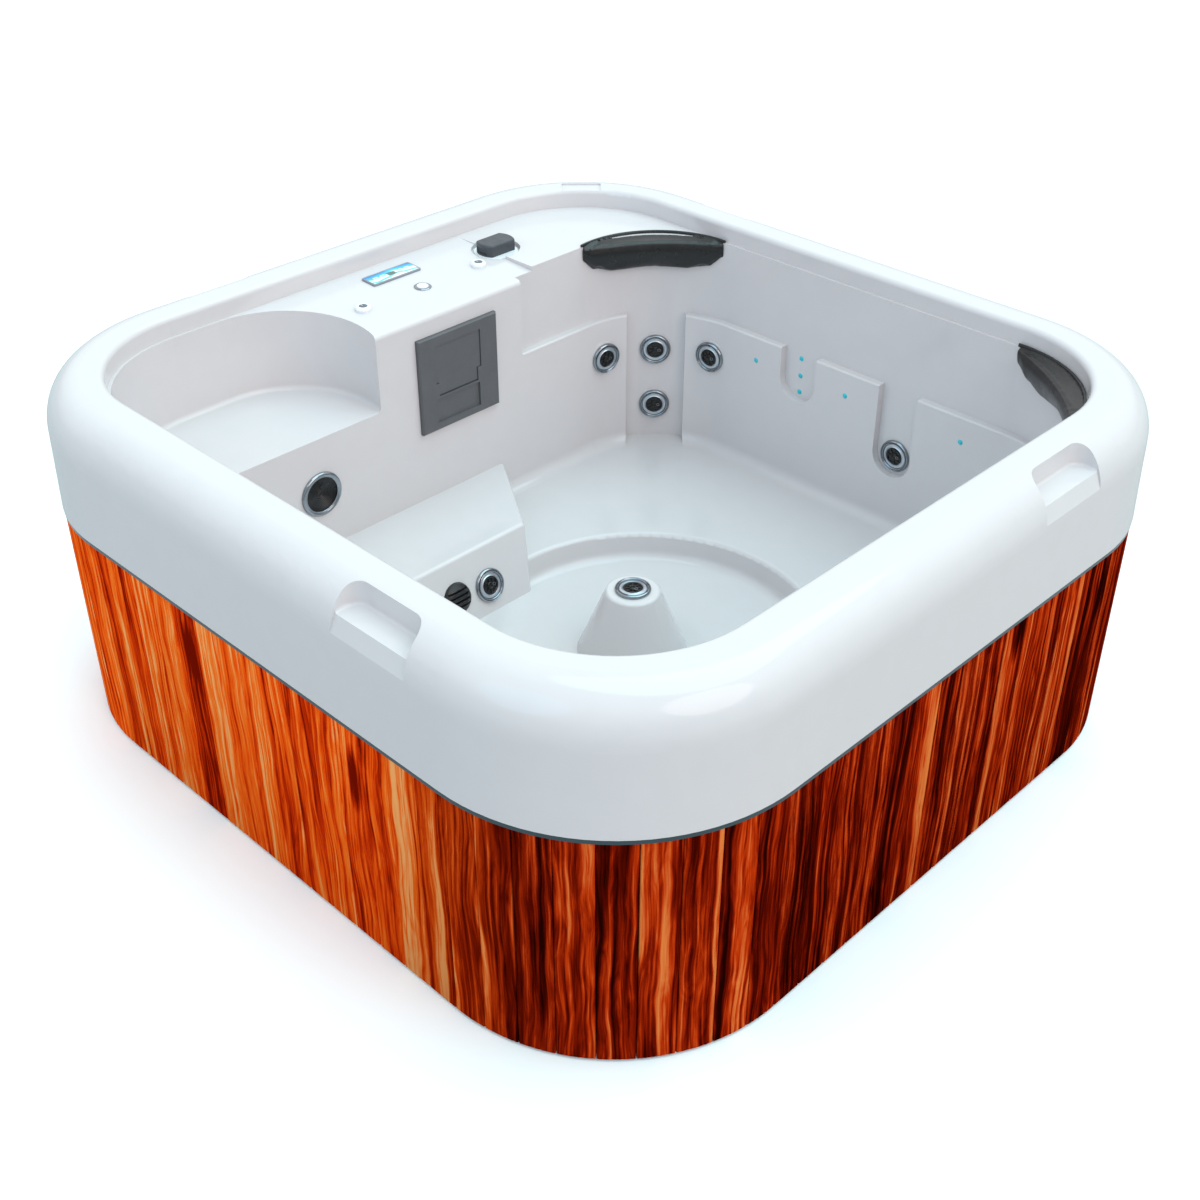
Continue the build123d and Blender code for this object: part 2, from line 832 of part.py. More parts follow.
def top_rails():
    """Rails under the flat of the rim, left out where the grips hang down."""
    ring = inset_plan(top_rail_inset) - inset_plan(top_rail_inset + top_rail_width)
    form = prism(ring, top_rail_foot, top_rail_foot + top_rail_height)
    for side, offset in grip_places():
        form -= grip_space(side, offset, shell_wall + seat_gap)
    return form.solids()


def foam_supports():
    """Foam blocks between the tray and the underside of the shell."""
    x, y = footwell_centre
    ring = Pos(x, y) * (Circle(support_ring_outer) - Circle(support_ring_inner))
    reach = 2 * support_ring_outer
    half = support_channel / 2
    ring -= box_plan(x - reach, x + reach, y - half, y + half)
    ring -= box_plan(x - half, x + half, y - reach, y + reach)
    made = list(prism(ring, tray_thickness, footwell_height - shell_wall).solids())
    deep, wide = support_block
    side = (footwell_centre[0] + footwell_radius + well_half_length - backrest_depth) / 2
    made += [bench_support(side, z, deep, wide) for z in (-400, 0, 400)]
    back = (footwell_centre[1] + footwell_radius + well_half_width - backrest_depth) / 2
    made += [bench_support(z, back, wide, deep) for z in (-150, 200, 500)]
    front = (footwell_centre[1] - footwell_radius - well_half_width + backrest_depth) / 2
    made += [bench_support(z, front, wide, deep) for z in (-80, 420)]
    return made


def bench_support(x, y, size_x, size_y):
    """One foam block under a bench."""
    top = bench_height - shell_wall
    return block(x - size_x / 2, x + size_x / 2, y - size_y / 2, y + size_y / 2, tray_thickness, top)


# Skirt


def sides():
    """Angle, distance and half length of the straight runs of the skirt."""
    return {
        "front": (-90, half_width - skirt_inset, rim_corner_x),
        "right": (0, half_length - skirt_inset, rim_corner_y),
        "back": (90, half_width - skirt_inset, rim_corner_x),
        "left": (180, half_length - skirt_inset, rim_corner_y),
    }


def board_count(half_run):
    """Number of boards along a straight run."""
    return round(2 * half_run / board_target_width)


def panel_half_width():
    """Half the width of the service panel."""
    return panel_boards * rim_corner_y / board_count(rim_corner_y)


def straight_board(y0, y1):
    """One board, with bevelled outer edges, whose outer face is at X 0."""
    b = board_bevel
    t = board_thickness
    plan = Polyline((-t, y0), (-b, y0), (0, y0 + b), (0, y1 - b), (-b, y1), (-t, y1), close=True)
    return prism(make_face(plan), skirt_foot, skirt_top)


def run_of_boards(name):
    """All boards of one straight run."""
    angle, distance, half_run = sides()[name]
    count = board_count(half_run)
    pitch = 2 * half_run / count
    place = Rot(0, 0, angle) * Pos(distance, 0, 0)
    boards = []
    for i in range(count):
        y0 = -half_run + i * pitch
        boards.append(place * straight_board(y0 + board_gap / 2, y0 + pitch - board_gap / 2))
    return boards


def corner_board(a0, a1):
    """One curved board of a corner, about the corner's centre."""
    outer = rim_corner_radius - skirt_inset
    inner = outer - board_thickness
    bevel = outer - board_bevel
    turn = degrees(board_bevel / outer)
    middle = (a0 + a1) / 2
    face = ThreePointArc(polar(outer, a0 + turn), polar(outer, middle), polar(outer, a1 - turn))
    back = ThreePointArc(polar(inner, a1), polar(inner, middle), polar(inner, a0))
    sides_of_board = [
        Line(face @ 1, polar(bevel, a1)), Line(polar(bevel, a1), back @ 0),
        Line(back @ 1, polar(bevel, a0)), Line(polar(bevel, a0), face @ 0),
    ]
    return prism(make_face(Curve([face, back] + sides_of_board)), skirt_foot, skirt_top)


def corner_boards():
    """Curved boards of the four corners."""
    radius = rim_corner_radius - skirt_inset
    count = round(radius * radians(90) / board_target_width)
    pitch = 90 / count
    gap = degrees(board_gap / 2 / radius)
    quarter = [corner_board(i * pitch + gap, (i + 1) * pitch - gap) for i in range(count)]
    made = []
    for turn, sx, sy in ((0, 1, 1), (90, -1, 1), (180, -1, -1), (270, 1, -1)):
        place = Pos(sx * rim_corner_x, sy * rim_corner_y, 0) * Rot(0, 0, turn)
        made += [place * board for board in quarter]
    return made


def left_skirt():
    """Boards of the left-hand side, and those of its service panel."""
    boards = run_of_boards("left")
    first = (len(boards) - panel_boards) // 2
    panel = boards[first:first + panel_boards]
    fixed = boards[:first] + boards[first + panel_boards:]
    drain = skirt_place(*drain_place) * drum(drain_radius + soft_gap, -drain_length, 1)
    gland = skirt_place(*gland_place) * drum(gland_radius + soft_gap, -drain_length, 1)
    screws = [place * drum(panel_screw_radius + running_gap, -drain_length, 1) for place in screw_places()]
    fixed = [board - drain - gland for board in fixed]
    for screw in screws:
        panel = [board - screw for board in panel]
    return fixed, panel


def skirt_place(y, z):
    """Place on the outer face of the left-hand skirt."""
    return facing((-half_length + skirt_inset, y, z), (-1, 0, 0))


def screw_places():
    """Corners of the service panel where its screws stand."""
    y = panel_half_width() - panel_screw_inset
    low = girt_feet[0] + panel_screw_height
    high = girt_feet[2] + panel_screw_height
    return [skirt_place(sy * y, z) for sy in (-1, 1) for z in (low, high)]


def panel_backing():
    """Board that holds the service panel's boards together."""
    x = -half_length + skirt_inset + board_thickness + seat_gap
    opening = access_opening(panel_back_margin)
    box = opening.bounding_box()
    return block(x, x + panel_back_thickness, box.min.Y, box.max.Y, box.min.Z, box.max.Z)


def panel_screws():
    """Dome-headed screws of the service panel."""
    head = panel_screw_head
    rise = panel_screw_head_height
    outline = (
        (0, -board_thickness), (panel_screw_radius, -board_thickness), (panel_screw_radius, 0),
        (head, 0), (head, rise / 2), (head * 0.6, rise), (0, rise),
    )
    return [place * turned(outline) for place in screw_places()]


def skirt_trim():
    """Strip between the boards and the lip."""
    ring = inset_plan(trim_inset) - inset_plan(trim_inset + trim_depth)
    return prism(ring, skirt_top, lip_height)


# Jets and other fittings in the water


def jet_body():
    """Barrel with its stepped seat for the insert and two barbed branches."""
    outer = jet_barrel_radius
    bore = outer - jet_barrel_wall
    foot = -jet_barrel_length
    floor = -jet_insert_length - seat_gap
    form = turned(((bore, 0), (outer, 0), (outer, foot), (0, foot), (0, floor), (bore, floor)))
    branch = Pos(0, 0, foot + jet_barb_radius + 1) * Rot(0, 90, 0) * Cylinder(jet_barb_radius, 2 * jet_barb_reach)
    return form + branch - drum(bore, floor, 0)


def jet_nut(back):
    """Nut that clamps the shell from behind."""
    inner = jet_barrel_radius + seat_gap
    top = -back - seat_gap
    return drum(jet_nut_radius, top - jet_nut_height, top) - drum(inner, top - jet_nut_height, top)


def jet_bezel():
    """Bright ring round the insert, with a rolled edge."""
    bore = jet_face_radius + running_gap
    outline = (
        (bore, 0), (jet_bezel_radius, 0), (jet_bezel_radius, jet_bezel_edge),
        (jet_bezel_radius - jet_bezel_edge, jet_bezel_height), (bore, jet_bezel_height),
    )
    return turned(outline)


def jet_insert():
    """Insert that turns in the barrel: face ring, eye and the port that aims the water."""
    face = jet_bezel_height - jet_face_recess
    eye = face - jet_eye_depth
    stem = jet_barrel_radius - jet_barrel_wall - running_gap
    foot = -jet_insert_length
    outline = (
        (0, foot), (stem, foot), (stem, seat_gap), (jet_face_radius, seat_gap), (jet_face_radius, face),
        (jet_eye_radius, face), (jet_eye_radius, eye), (0, eye),
    )
    return turned(outline) - Pos(jet_port_offset, 0, 0) * drum(jet_port_radius, foot / 2, eye)


def air_injector():
    """Small mushroom-headed air injector."""
    head = injector_head_radius
    rise = injector_head_height
    stem = injector_stem_radius
    foot = -injector_stem_length
    return turned(((0, foot), (stem, foot), (stem, 0), (head, 0), (head * 0.6, rise), (0, rise)))


def suction_cover():
    """Domed and slotted cover with the tail that goes through the shell."""
    radius = suction_radius
    dome = turned(((0, 0), (radius, 0), (radius * 0.92, suction_dome * 0.55), (radius * 0.6, suction_dome), (0, suction_dome)))
    slot = Box(1.5 * radius, suction_slot_width, suction_dome)
    for i in range(suction_slots):
        y = (i - (suction_slots - 1) / 2) * 2.6 * suction_slot_width
        dome -= Pos(0, y, suction_dome * 0.8) * slot
    tail = drum(suction_tail_radius, -suction_tail_length, 0)
    return bench_front_place(*suction_place) * (dome + tail)


def light_lamp():
    """Sealed lamp: the lens in front of its can."""
    radius = light_can_radius
    foot = -light_can_depth
    outline = (
        (0, foot), (radius * 0.7, foot), (radius, foot + radius * 0.3), (radius, 0),
        (radius * 0.8, 0), (radius * 0.6, -2), (0, -4),
    )
    return control_wall_place(*light_place) * turned(outline)


def light_ring():
    """Bright ring that covers the rim of the lamp."""
    bore = light_ring_bore
    outer = light_ring_radius
    rise = light_ring_height
    outline = ((bore, seat_gap), (outer, seat_gap), (outer, rise * 0.4), (outer * 0.93, rise), (bore * 1.04, rise))
    return control_wall_place(*light_place) * turned(outline)


# Skimmer


def door_pin_height():
    """Height of the pins at the foot of the weir door."""
    return door_low[1] + door_thickness / 2


def door_plan(gap):
    """Outline of the weir door in Y and Z, with its narrower tongue, grown by a gap."""
    y0, z0 = door_low
    y1, z1 = door_high
    step = door_step
    corners = (
        (y0 - gap, z1 + gap), (y0 - gap, door_step_height - gap), (y0 + step - gap, door_step_height - gap),
        (y0 + step - gap, z0 - gap), (y1 - step - 3 + gap, z0 - gap), (y1 - step - 3 + gap, door_step_height - gap),
        (y1 + gap, door_step_height - gap), (y1 + gap, z1 + gap),
    )
    return make_face(Polyline(*corners, close=True))


def skimmer_plate():
    """Front plate with the door's window, the finger slot and the pin holes."""
    x = control_wall_x
    plate = block(x, x + plate_thickness, plate_low[0], plate_high[0], plate_low[1], plate_high[1])
    front = plate.faces().sort_by(Axis.X)[-1]
    plate = chamfer(front.edges(), plate_rounding)
    plate -= extrude(Plane.YZ.offset(x - 1) * door_plan(door_gap), amount=plate_thickness + 2)
    sunk = x + plate_thickness - slot_depth
    plate -= block(sunk, x + plate_thickness + 1, slot_low[0], slot_high[0], slot_low[1], slot_high[1])
    return plate - door_pins(running_gap)


def door_pins(gap):
    """Two pins at the foot of the door."""
    x = control_wall_x + plate_thickness / 2
    y0 = door_low[0] + door_step
    y1 = door_high[0] - door_step - 3
    length = y1 - y0 + 2 * (door_pin_length + gap)
    place = Pos(x, (y0 + y1) / 2, door_pin_height()) * Rot(90, 0, 0)
    return place * Cylinder(door_pin_radius + gap, length)


def skimmer_door():
    """Weir door that tips into the housing on its two pins."""
    x = control_wall_x + plate_thickness / 2
    half = door_thickness / 2
    leaf = extrude(Plane.YZ.offset(x - half) * door_plan(0), amount=door_thickness)
    y0 = door_low[0]
    y1 = door_high[0]
    leaf -= block(x - half - 1, x + half + 1, y0 - 1, y1 + 1, door_low[1] - 1, door_pin_height())
    a = door_low[0] + door_step
    b = door_high[0] - door_step - 3
    foot = Pos(x, (a + b) / 2, door_pin_height()) * Rot(90, 0, 0) * Cylinder(half, b - a)
    return leaf + foot + door_pins(0)


def filter_housing():
    """Throat behind the door and the canister below it."""
    front = control_wall_x - shell_wall
    back = front - housing_depth
    margin = housing_margin
    wall = housing_wall
    y0, z0 = door_low[0] - margin, door_low[1] - margin
    y1, z1 = door_high[0] + margin, door_high[1] + margin
    middle = (y0 + y1) / 2
    throat = block(back, front, y0 - wall, y1 + wall, z0 - wall, z1 + wall)
    can = Pos(canister_x, middle, 0) * drum(canister_radius, canister_foot, z0)
    form = throat + can
    form -= block(back + wall, front + 1, y0, y1, z0, z1)
    return form - Pos(canister_x, middle, 0) * drum(canister_radius - wall, canister_foot + wall, z0 + 1)


def filter_cartridge():
    """Filter in the canister: end caps and the body between them."""
    middle = (door_low[0] + door_high[0]) / 2
    foot = canister_foot + housing_wall
    cap = filter_radius
    body = filter_radius - 4
    top = foot + filter_height
    outline = (
        (filter_bore, foot), (cap, foot), (cap, foot + 12), (body, foot + 12), (body, top - 12), (cap, top - 12),
        (cap, top), (filter_bore, top),
    )
    return Pos(canister_x, middle, 0) * turned(outline)


# Controls on the deck


def key_offsets():
    """Places of the four keys along the panel."""
    return [sign * (key_first + i * key_pitch) for sign in (-1, 1) for i in (0, 1)]


def control_bezel():
    """Frame of the control panel, let into the deck, with a pocket for each key."""
    x, y = panel_size
    rim_plan = RectangleRounded(x, y, panel_corner)
    body_plan = RectangleRounded(x - 4 * panel_border - 2 * seat_gap, y - 4 * panel_border - 2 * seat_gap, panel_corner - seat_gap)
    form = extrude(rim_plan, amount=panel_height)
    form = chamfer(form.edges().group_by(Axis.Z)[-1], panel_height / 3)
    form += extrude(Pos(0, 0, -2 * shell_wall) * body_plan, amount=2 * shell_wall)
    form -= extrude(Pos(0, 0, panel_height - overlay_depth) * overlay_plan(seat_gap), amount=overlay_depth)
    floor = panel_height - overlay_depth
    for offset in key_offsets():
        form -= Pos(0, offset, floor) * key_pocket()
    return deck_place(*panel_centre) * form


def overlay_plan(gap):
    """Outline of the printed face of the panel."""
    border = 2 * panel_border - 2 * gap
    return RectangleRounded(panel_size[0] - border, panel_size[1] - border, panel_corner / 3)


def key_pocket():
    """Pocket below the panel's face in which a key moves."""
    x, y = key_size
    depth = key_height + key_travel + key_proud
    return Pos(0, 0, -depth / 2) * Box(x + 4 * running_gap, y + 4 * running_gap, depth)


def control_overlay():
    """Face of the panel, cut out round its keys and sunk for the display."""
    x, y = key_size
    form = extrude(Pos(0, 0, panel_height - overlay_depth) * overlay_plan(0), amount=overlay_depth)
    for offset in key_offsets():
        form -= Pos(0, offset, panel_height) * Box(x + 4 * running_gap, y + 4 * running_gap, 3 * overlay_depth)
    form -= Pos(0, 0, panel_height) * Box(*display_size, overlay_depth / 2)
    return deck_place(*panel_centre) * form


def control_key(offset):
    """One key of the panel."""
    plan = RectangleRounded(*key_size, key_size[0] / 6)
    top = panel_height + key_proud
    height = key_height + overlay_depth
    form = extrude(Pos(0, offset, top - height) * plan, amount=height)
    return deck_place(*panel_centre) * form


def pump_button_bezel():
    """Ring and barrel of the push button."""
    bore = button_radius + running_gap
    barrel = button_barrel_radius
    foot = -button_barrel_length
    floor = foot + 3
    top = button_bezel_height
    outer = button_bezel_radius
    outline = (
        (0, foot), (barrel, foot), (barrel, 0), (outer, 0), (outer, top / 2), (outer - 2, top),
        (bore, top), (bore, floor), (0, floor),
    )
    return deck_place(*button_centre) * turned(outline)


def pump_button():
    """Button that travels in its barrel."""
    top = button_bezel_height + button_proud
    foot = top - 4 * button_travel
    radius = button_radius
    outline = ((0, foot), (radius, foot), (radius, top - 1), (radius - 1, top), (0, top))
    return deck_place(*button_centre) * turned(outline)


def air_valve_body():
    """Flange, barrel and spigot of an air control."""
    foot = -valve_barrel_length
    rise = valve_flange_height
    top = rise + valve_spigot_height
    barrel = valve_barrel_radius
    outline = (
        (0, foot), (barrel, foot), (barrel, 0), (valve_flange_radius, 0), (valve_flange_radius, rise),
        (valve_spigot_radius, rise), (valve_spigot_radius, top), (0, top),
    )
    return turned(outline)


def air_valve_cap():
    """Domed cap that turns on the spigot, dished in the middle."""
    foot = valve_flange_height + running_gap
    bore = valve_spigot_radius + running_gap
    roof = valve_flange_height + valve_spigot_height + running_gap
    top = foot + cap_height
    outline = (
        (bore, foot), (cap_radius, foot), (cap_radius, foot + cap_height * 0.4), (cap_radius * 0.85, top - 1.5),
        (cap_top_radius + 1.5, top), (cap_top_radius, top - cap_dish), (0, top - cap_dish), (0, roof), (bore, roof),
    )
    return turned(outline)


def diverter_place():
    """Middle of the pocket's floor."""
    return Pos(*diverter_centre, deck_height - pocket_depth)


def diverter_body():
    """Flange, barrel and spindle of the diverter."""
    rise = diverter_flange_height
    barrel = diverter_barrel_radius
    foot = -diverter_barrel_length
    top = rise + diverter_spindle_height
    spindle = diverter_spindle_radius
    outline = (
        (0, foot), (barrel, foot), (barrel, 0), (diverter_flange_radius, 0), (diverter_flange_radius, rise),
        (spindle, rise), (spindle, top), (0, top),
    )
    return diverter_place() * turned(outline)


def diverter_handle():
    """Handle: a thick disc with two flats, rounded on top and hollowed at one end."""
    foot = diverter_flange_height + running_gap
    plan = Circle(handle_radius) & Rectangle(handle_width, 2 * handle_radius)
    form = extrude(Pos(0, 0, foot) * plan, amount=handle_height)
    form = fillet(form.edges().group_by(Axis.Z)[-1], handle_rounding)
    form = fillet(form.edges().filter_by(Axis.Z), handle_rounding)
    bore = diverter_spindle_radius + running_gap
    form -= drum(bore, foot, diverter_flange_height + diverter_spindle_height + running_gap)
    grip = Pos(0, -handle_radius, foot + handle_height * 0.4)
    form -= grip * Box(handle_width * 0.6, 2 * handle_grip_depth, handle_height * 0.55)
    return diverter_place() * form


# Pillows


def pillow(centre_x, centre_y, radius, middle_angle, lip):
    """Head pillow that follows a rounded corner, hangs down the wall and lips over the deck."""
    half_angle = degrees(asin(pillow_chord / 2 / radius))
    sagitta = radius - sqrt(radius**2 - (pillow_chord / 2) ** 2)
    front_sagitta = sagitta - pillow_thickness + pillow_end_thickness
    front_radius = ((pillow_chord / 2) ** 2 + front_sagitta**2) / (2 * front_sagitta)
    front_offset = radius - pillow_thickness - front_radius
    sections = []
    for station, depth in zip(pillow_stations, pillow_depths):
        turn = station * half_angle
        front = front_reach(front_offset, front_radius, turn)
        overhang = pillow_lip_end + lip * (1 - station**2)
        section = pillow_section(radius, radius - front, depth, overhang)
        sections.append(Pos(centre_x, centre_y, 0) * Rot(0, 0, middle_angle + turn) * section)
    return loft(sections)


def front_reach(offset, radius, turn):
    """Distance from the corner's centre to the pillow's front arc, at an angle off the middle."""
    along = offset * cos(radians(turn))
    across = offset * sin(radians(turn))
    return along + sqrt(radius**2 - across**2)


def pillow_section(radius, thickness, depth, overhang):
    """Upright section: flat back and lip, crowned top and front, drawn in at the foot."""
    back = radius - soft_gap
    deck = deck_height + soft_gap
    top = deck_height + pillow_lip_height
    low = deck_height - depth
    front = radius - thickness
    shoulder = deck_height - pillow_front_drop
    bulge = (front - pillow_bulge * thickness / pillow_thickness, (shoulder + low) / 2)
    crown = ((radius + overhang + front) / 2, (top + shoulder) / 2 - 2)
    wall = Line((back, low), (back, deck))
    under = Line((back, deck), (radius + overhang, deck))
    edge = Line((radius + overhang, deck), (radius + overhang, top))
    over = ThreePointArc((radius + overhang, top), crown, (front, shoulder))
    face = ThreePointArc((front, shoulder), bulge, (back - 0.25 * thickness, low))
    foot = Line((back - 0.25 * thickness, low), (back, low))
    return make_face(Plane.XZ * Curve([wall, under, edge, over, face, foot]))


# Machinery


def pipe(points):
    """Pipe along a route with even bends."""
    path = FilletPolyline(*points, radius=pipe_bend)
    return sweep(Plane(origin=path @ 0, z_dir=path % 0) * Circle(pipe_radius), path=path)


def lying_drum(radius, x, z, y0, y1):
    """Round bar along Y."""
    return Pos(x, (y0 + y1) / 2, z) * Rot(90, 0, 0) * Cylinder(radius, y1 - y0)


def pump_wet_end():
    """Volute with its suction and discharge ports and a foot."""
    y0, y1 = volute_y
    middle = (y0 + y1) / 2
    form = lying_drum(volute_radius, pump_x, pump_axis_height, y0, y1)
    form += lying_drum(pump_port_radius, pump_x, pump_axis_height, y0 - pump_port_length, y0)
    form += Pos(pump_x, middle, 0) * drum(pump_port_radius, pump_axis_height, discharge_height)
    foot = pump_port_radius
    return form + block(pump_x - foot, pump_x + foot, middle - foot, middle + foot, bay_floor, pump_axis_height)


def pump_motor():
    """Motor on its cradle."""
    y0 = volute_y[1]
    form = lying_drum(motor_radius, pump_x, pump_axis_height, y0, motor_end_y)
    reach = motor_radius * 0.9
    return form + block(pump_x - reach, pump_x + reach, y0 + reach, motor_end_y - reach / 3, bay_floor, pump_axis_height - reach / 2)


def heater_tube():
    """Heater in line with the pump's delivery, lying on the control box."""
    y0, y1 = heater_y
    form = lying_drum(heater_radius, pump_x, heater_axis_height, y0, y1)
    return form


def control_box():
    """Box of electrics on the tray."""
    x0, x1 = control_box_x
    y0, y1 = control_box_y
    form = block(x0, x1, y0, y1, bay_floor, heater_axis_height - heater_radius - seat_gap)
    return chamfer(form.edges().filter_by(Axis.Z), housing_wall)


def air_blower():
    """Blower for the injectors, standing on the tray."""
    radius = blower_radius
    top = bay_floor + blower_height
    outline = (
        (0, bay_floor), (radius, bay_floor), (radius, top - radius / 4), (radius * 0.75, top),
        (pipe_radius, top), (pipe_radius, top + pipe_radius), (0, top + pipe_radius),
    )
    return Pos(*blower_centre, 0) * turned(outline)


def pipework():
    """Pipes from the suction to the pump, on to the heater, to the diverter and to the jets' manifold."""
    tail = bench_front_place(*suction_place) * Pos(0, 0, -suction_tail_length)
    start = tail.position
    along = (bench_front_place(*suction_place) * Pos(0, 0, -2 * suction_tail_length)).position
    y0, y1 = volute_y
    inlet_y = y0 - pump_port_length
    turn_y = inlet_y - 2.5 * pipe_bend
    drop_x = pump_x + 2.2 * pipe_bend
    suction = pipe((
        (start.X, start.Y, start.Z), (along.X, along.Y, along.Z), (drop_x, turn_y, pump_axis_height),
        (pump_x, turn_y, pump_axis_height), (pump_x, inlet_y, pump_axis_height),
    ))
    middle = (y0 + y1) / 2
    delivery = pipe((
        (pump_x, middle, discharge_height), (pump_x, middle, heater_axis_height),
        (pump_x, heater_y[0], heater_axis_height),
    ))
    x, y = diverter_centre
    foot = deck_height - pocket_depth - diverter_barrel_length
    past = heater_y[1] + 1.7 * pipe_bend
    riser = foot - 2 * pipe_bend
    rising = pipe((
        (pump_x, heater_y[1], heater_axis_height), (pump_x, past, heater_axis_height), (pump_x, past, riser),
        (x, y, riser), (x, y, foot),
    ))
    out = foot + pipe_radius + shell_wall
    side = y + diverter_barrel_radius
    bend_x, bend_y = polar(far_corner_radius + 2 * jet_barrel_length, corner_strip_angle)
    bend = (far_centre_x + bend_x, far_centre_y + bend_y)
    manifold = pipe((
        (x, side, out), (x, bend[1] - 3 * pipe_bend, out), (bend[0], bend[1], out), (*bend, footwell_height),
    ))
    return [suction, delivery, rising, manifold]


def drain_valve():
    """Drain with its cap, flush with the skirt."""
    radius = drain_radius
    body = turned(((0, -drain_length), (radius * 0.6, -drain_length), (radius * 0.6, -8), (radius, -8), (radius, -1), (0, -1)))
    bar = Pos(0, 0, -1) * Box(1.4 * radius, radius / 4, 3)
    return skirt_place(*drain_place) * (body - bar)


def cable_gland():
    """Gland for the supply cable, flush with the skirt."""
    radius = gland_radius
    nut = extrude(Pos(0, 0, -gland_length) * RegularPolygon(radius, 6), amount=gland_length - 1)
    return skirt_place(*gland_place) * (nut - drum(radius / 2, -gland_length, 0))


def pieces():
    """Every node of the tub, by name."""
    made = {
        "shell": [shell()],
        "base_tray": [base_tray()],
        "girts": girts(),
        "studs": studs(),
        "top_rails": top_rails(),
        "foam_supports": foam_supports(),
        "skirt_front": run_of_boards("front"),
        "skirt_right": run_of_boards("right"),
        "skirt_back": run_of_boards("back"),
        "skirt_corners": corner_boards(),
        "service_panel_backing": [panel_backing()],
        "service_panel_screws": panel_screws(),
        "skirt_trim": [skirt_trim()],
        "jet_bodies": [place * jet_body() for place, _ in jet_places()],
        "jet_nuts": [place * jet_nut(back) for place, back in jet_places()],
        "jet_bezels": [place * jet_bezel() for place, _ in jet_places()],
        "air_injectors": [place * air_injector() for place in injector_places()],
        "suction_cover": [suction_cover()],
        "light_lamp": [light_lamp()],
        "light_ring": [light_ring()],
        "skimmer_plate": [skimmer_plate()],
        "skimmer_door": [skimmer_door()],
        "filter_housing": [filter_housing()],
        "filter_cartridge": [filter_cartridge()],
        "control_bezel": [control_bezel()],
        "control_overlay": [control_overlay()],
        "pump_button_bezel": [pump_button_bezel()],
        "pump_button": [pump_button()],
        "air_valve_bodies": [deck_place(x, y) * air_valve_body() for x, y in valve_places],
        "diverter_body": [diverter_body()],
        "diverter_handle": [diverter_handle()],
        "pillow_far": [pillow(far_centre_x, far_centre_y, far_corner_radius, far_pillow_angle, far_pillow_lip)],
        "pillow_right": [
            pillow(rim_corner_x, rim_corner_y, well_corner_radius, right_pillow_angle, right_pillow_lip)
        ],
        "pump_wet_end": [pump_wet_end()],
        "pump_motor": [pump_motor()],
        "heater_tube": [heater_tube()],
        "control_box": [control_box()],
        "air_blower": [air_blower()],
        "pipework": pipework(),
        "drain_valve": [drain_valve()],
        "cable_gland": [cable_gland()],
    }
    made["skirt_left"], made["service_panel"] = left_skirt()
    for i, (place, _) in enumerate(jet_places(), 1):
        made[f"jet_insert_{i}"] = [place * jet_insert()]
    for i, offset in enumerate(key_offsets(), 1):
        made[f"control_key_{i}"] = [control_key(offset)]
    for i, (x, y) in enumerate(valve_places, 1):
        made[f"air_valve_cap_{i}"] = [deck_place(x, y) * air_valve_cap()]
    return made


os.makedirs("parts", exist_ok=True)
for name, solids in pieces().items():
    flat = [solid for form in solids for solid in form.solids()]
    export_step(flat[0] if len(flat) == 1 else Compound(children=flat), f"parts/{name}.step")
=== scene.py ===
"""Looks of a square outdoor hot tub: finishes, boards, jets, controls, head pillows and studio."""

import json
import logging
import math
from dataclasses import dataclass
from enum import Enum
from typing import Callable, Sequence

import bmesh
import bpy
from mathutils import Matrix, Vector


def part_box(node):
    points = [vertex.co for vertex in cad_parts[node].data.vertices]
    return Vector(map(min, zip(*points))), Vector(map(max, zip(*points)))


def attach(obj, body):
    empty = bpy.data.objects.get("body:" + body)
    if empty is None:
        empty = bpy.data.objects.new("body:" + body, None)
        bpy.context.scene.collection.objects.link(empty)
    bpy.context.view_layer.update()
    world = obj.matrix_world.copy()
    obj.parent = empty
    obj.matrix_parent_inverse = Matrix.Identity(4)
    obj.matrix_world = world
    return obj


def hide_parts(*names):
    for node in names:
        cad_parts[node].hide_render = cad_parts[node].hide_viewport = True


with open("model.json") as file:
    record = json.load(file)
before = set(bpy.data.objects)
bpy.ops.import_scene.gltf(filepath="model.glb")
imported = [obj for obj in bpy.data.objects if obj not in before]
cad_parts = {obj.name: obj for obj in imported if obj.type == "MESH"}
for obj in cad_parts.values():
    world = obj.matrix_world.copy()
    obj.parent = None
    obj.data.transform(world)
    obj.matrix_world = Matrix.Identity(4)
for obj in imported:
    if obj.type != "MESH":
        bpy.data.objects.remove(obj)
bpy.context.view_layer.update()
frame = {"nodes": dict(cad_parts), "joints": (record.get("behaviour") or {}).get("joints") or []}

log = logging.getLogger("hot_tub")
MM = 0.001
Colour = tuple[float, float, float, float]
Outline = Sequence[tuple[float, float]]
Socket = bpy.types.NodeSocket
Mesh = bpy.types.Mesh
Material = bpy.types.Material


def paint(red: int, green: int, blue: int) -> Colour:
    """Linear colour from the 0 to 255 levels of a colour card."""
    linear = []
    for level in (red / 255, green / 255, blue / 255):
        linear.append(level / 12.92 if level <= 0.04045 else ((level + 0.055) / 1.055) ** 2.4)
    return (*linear, 1.0)


def shade(colour: Colour, share: float) -> Colour:
    """The same colour, lighter or darker by a share."""
    return (*[min(level * share, 1.0) for level in colour[:3]], 1.0)


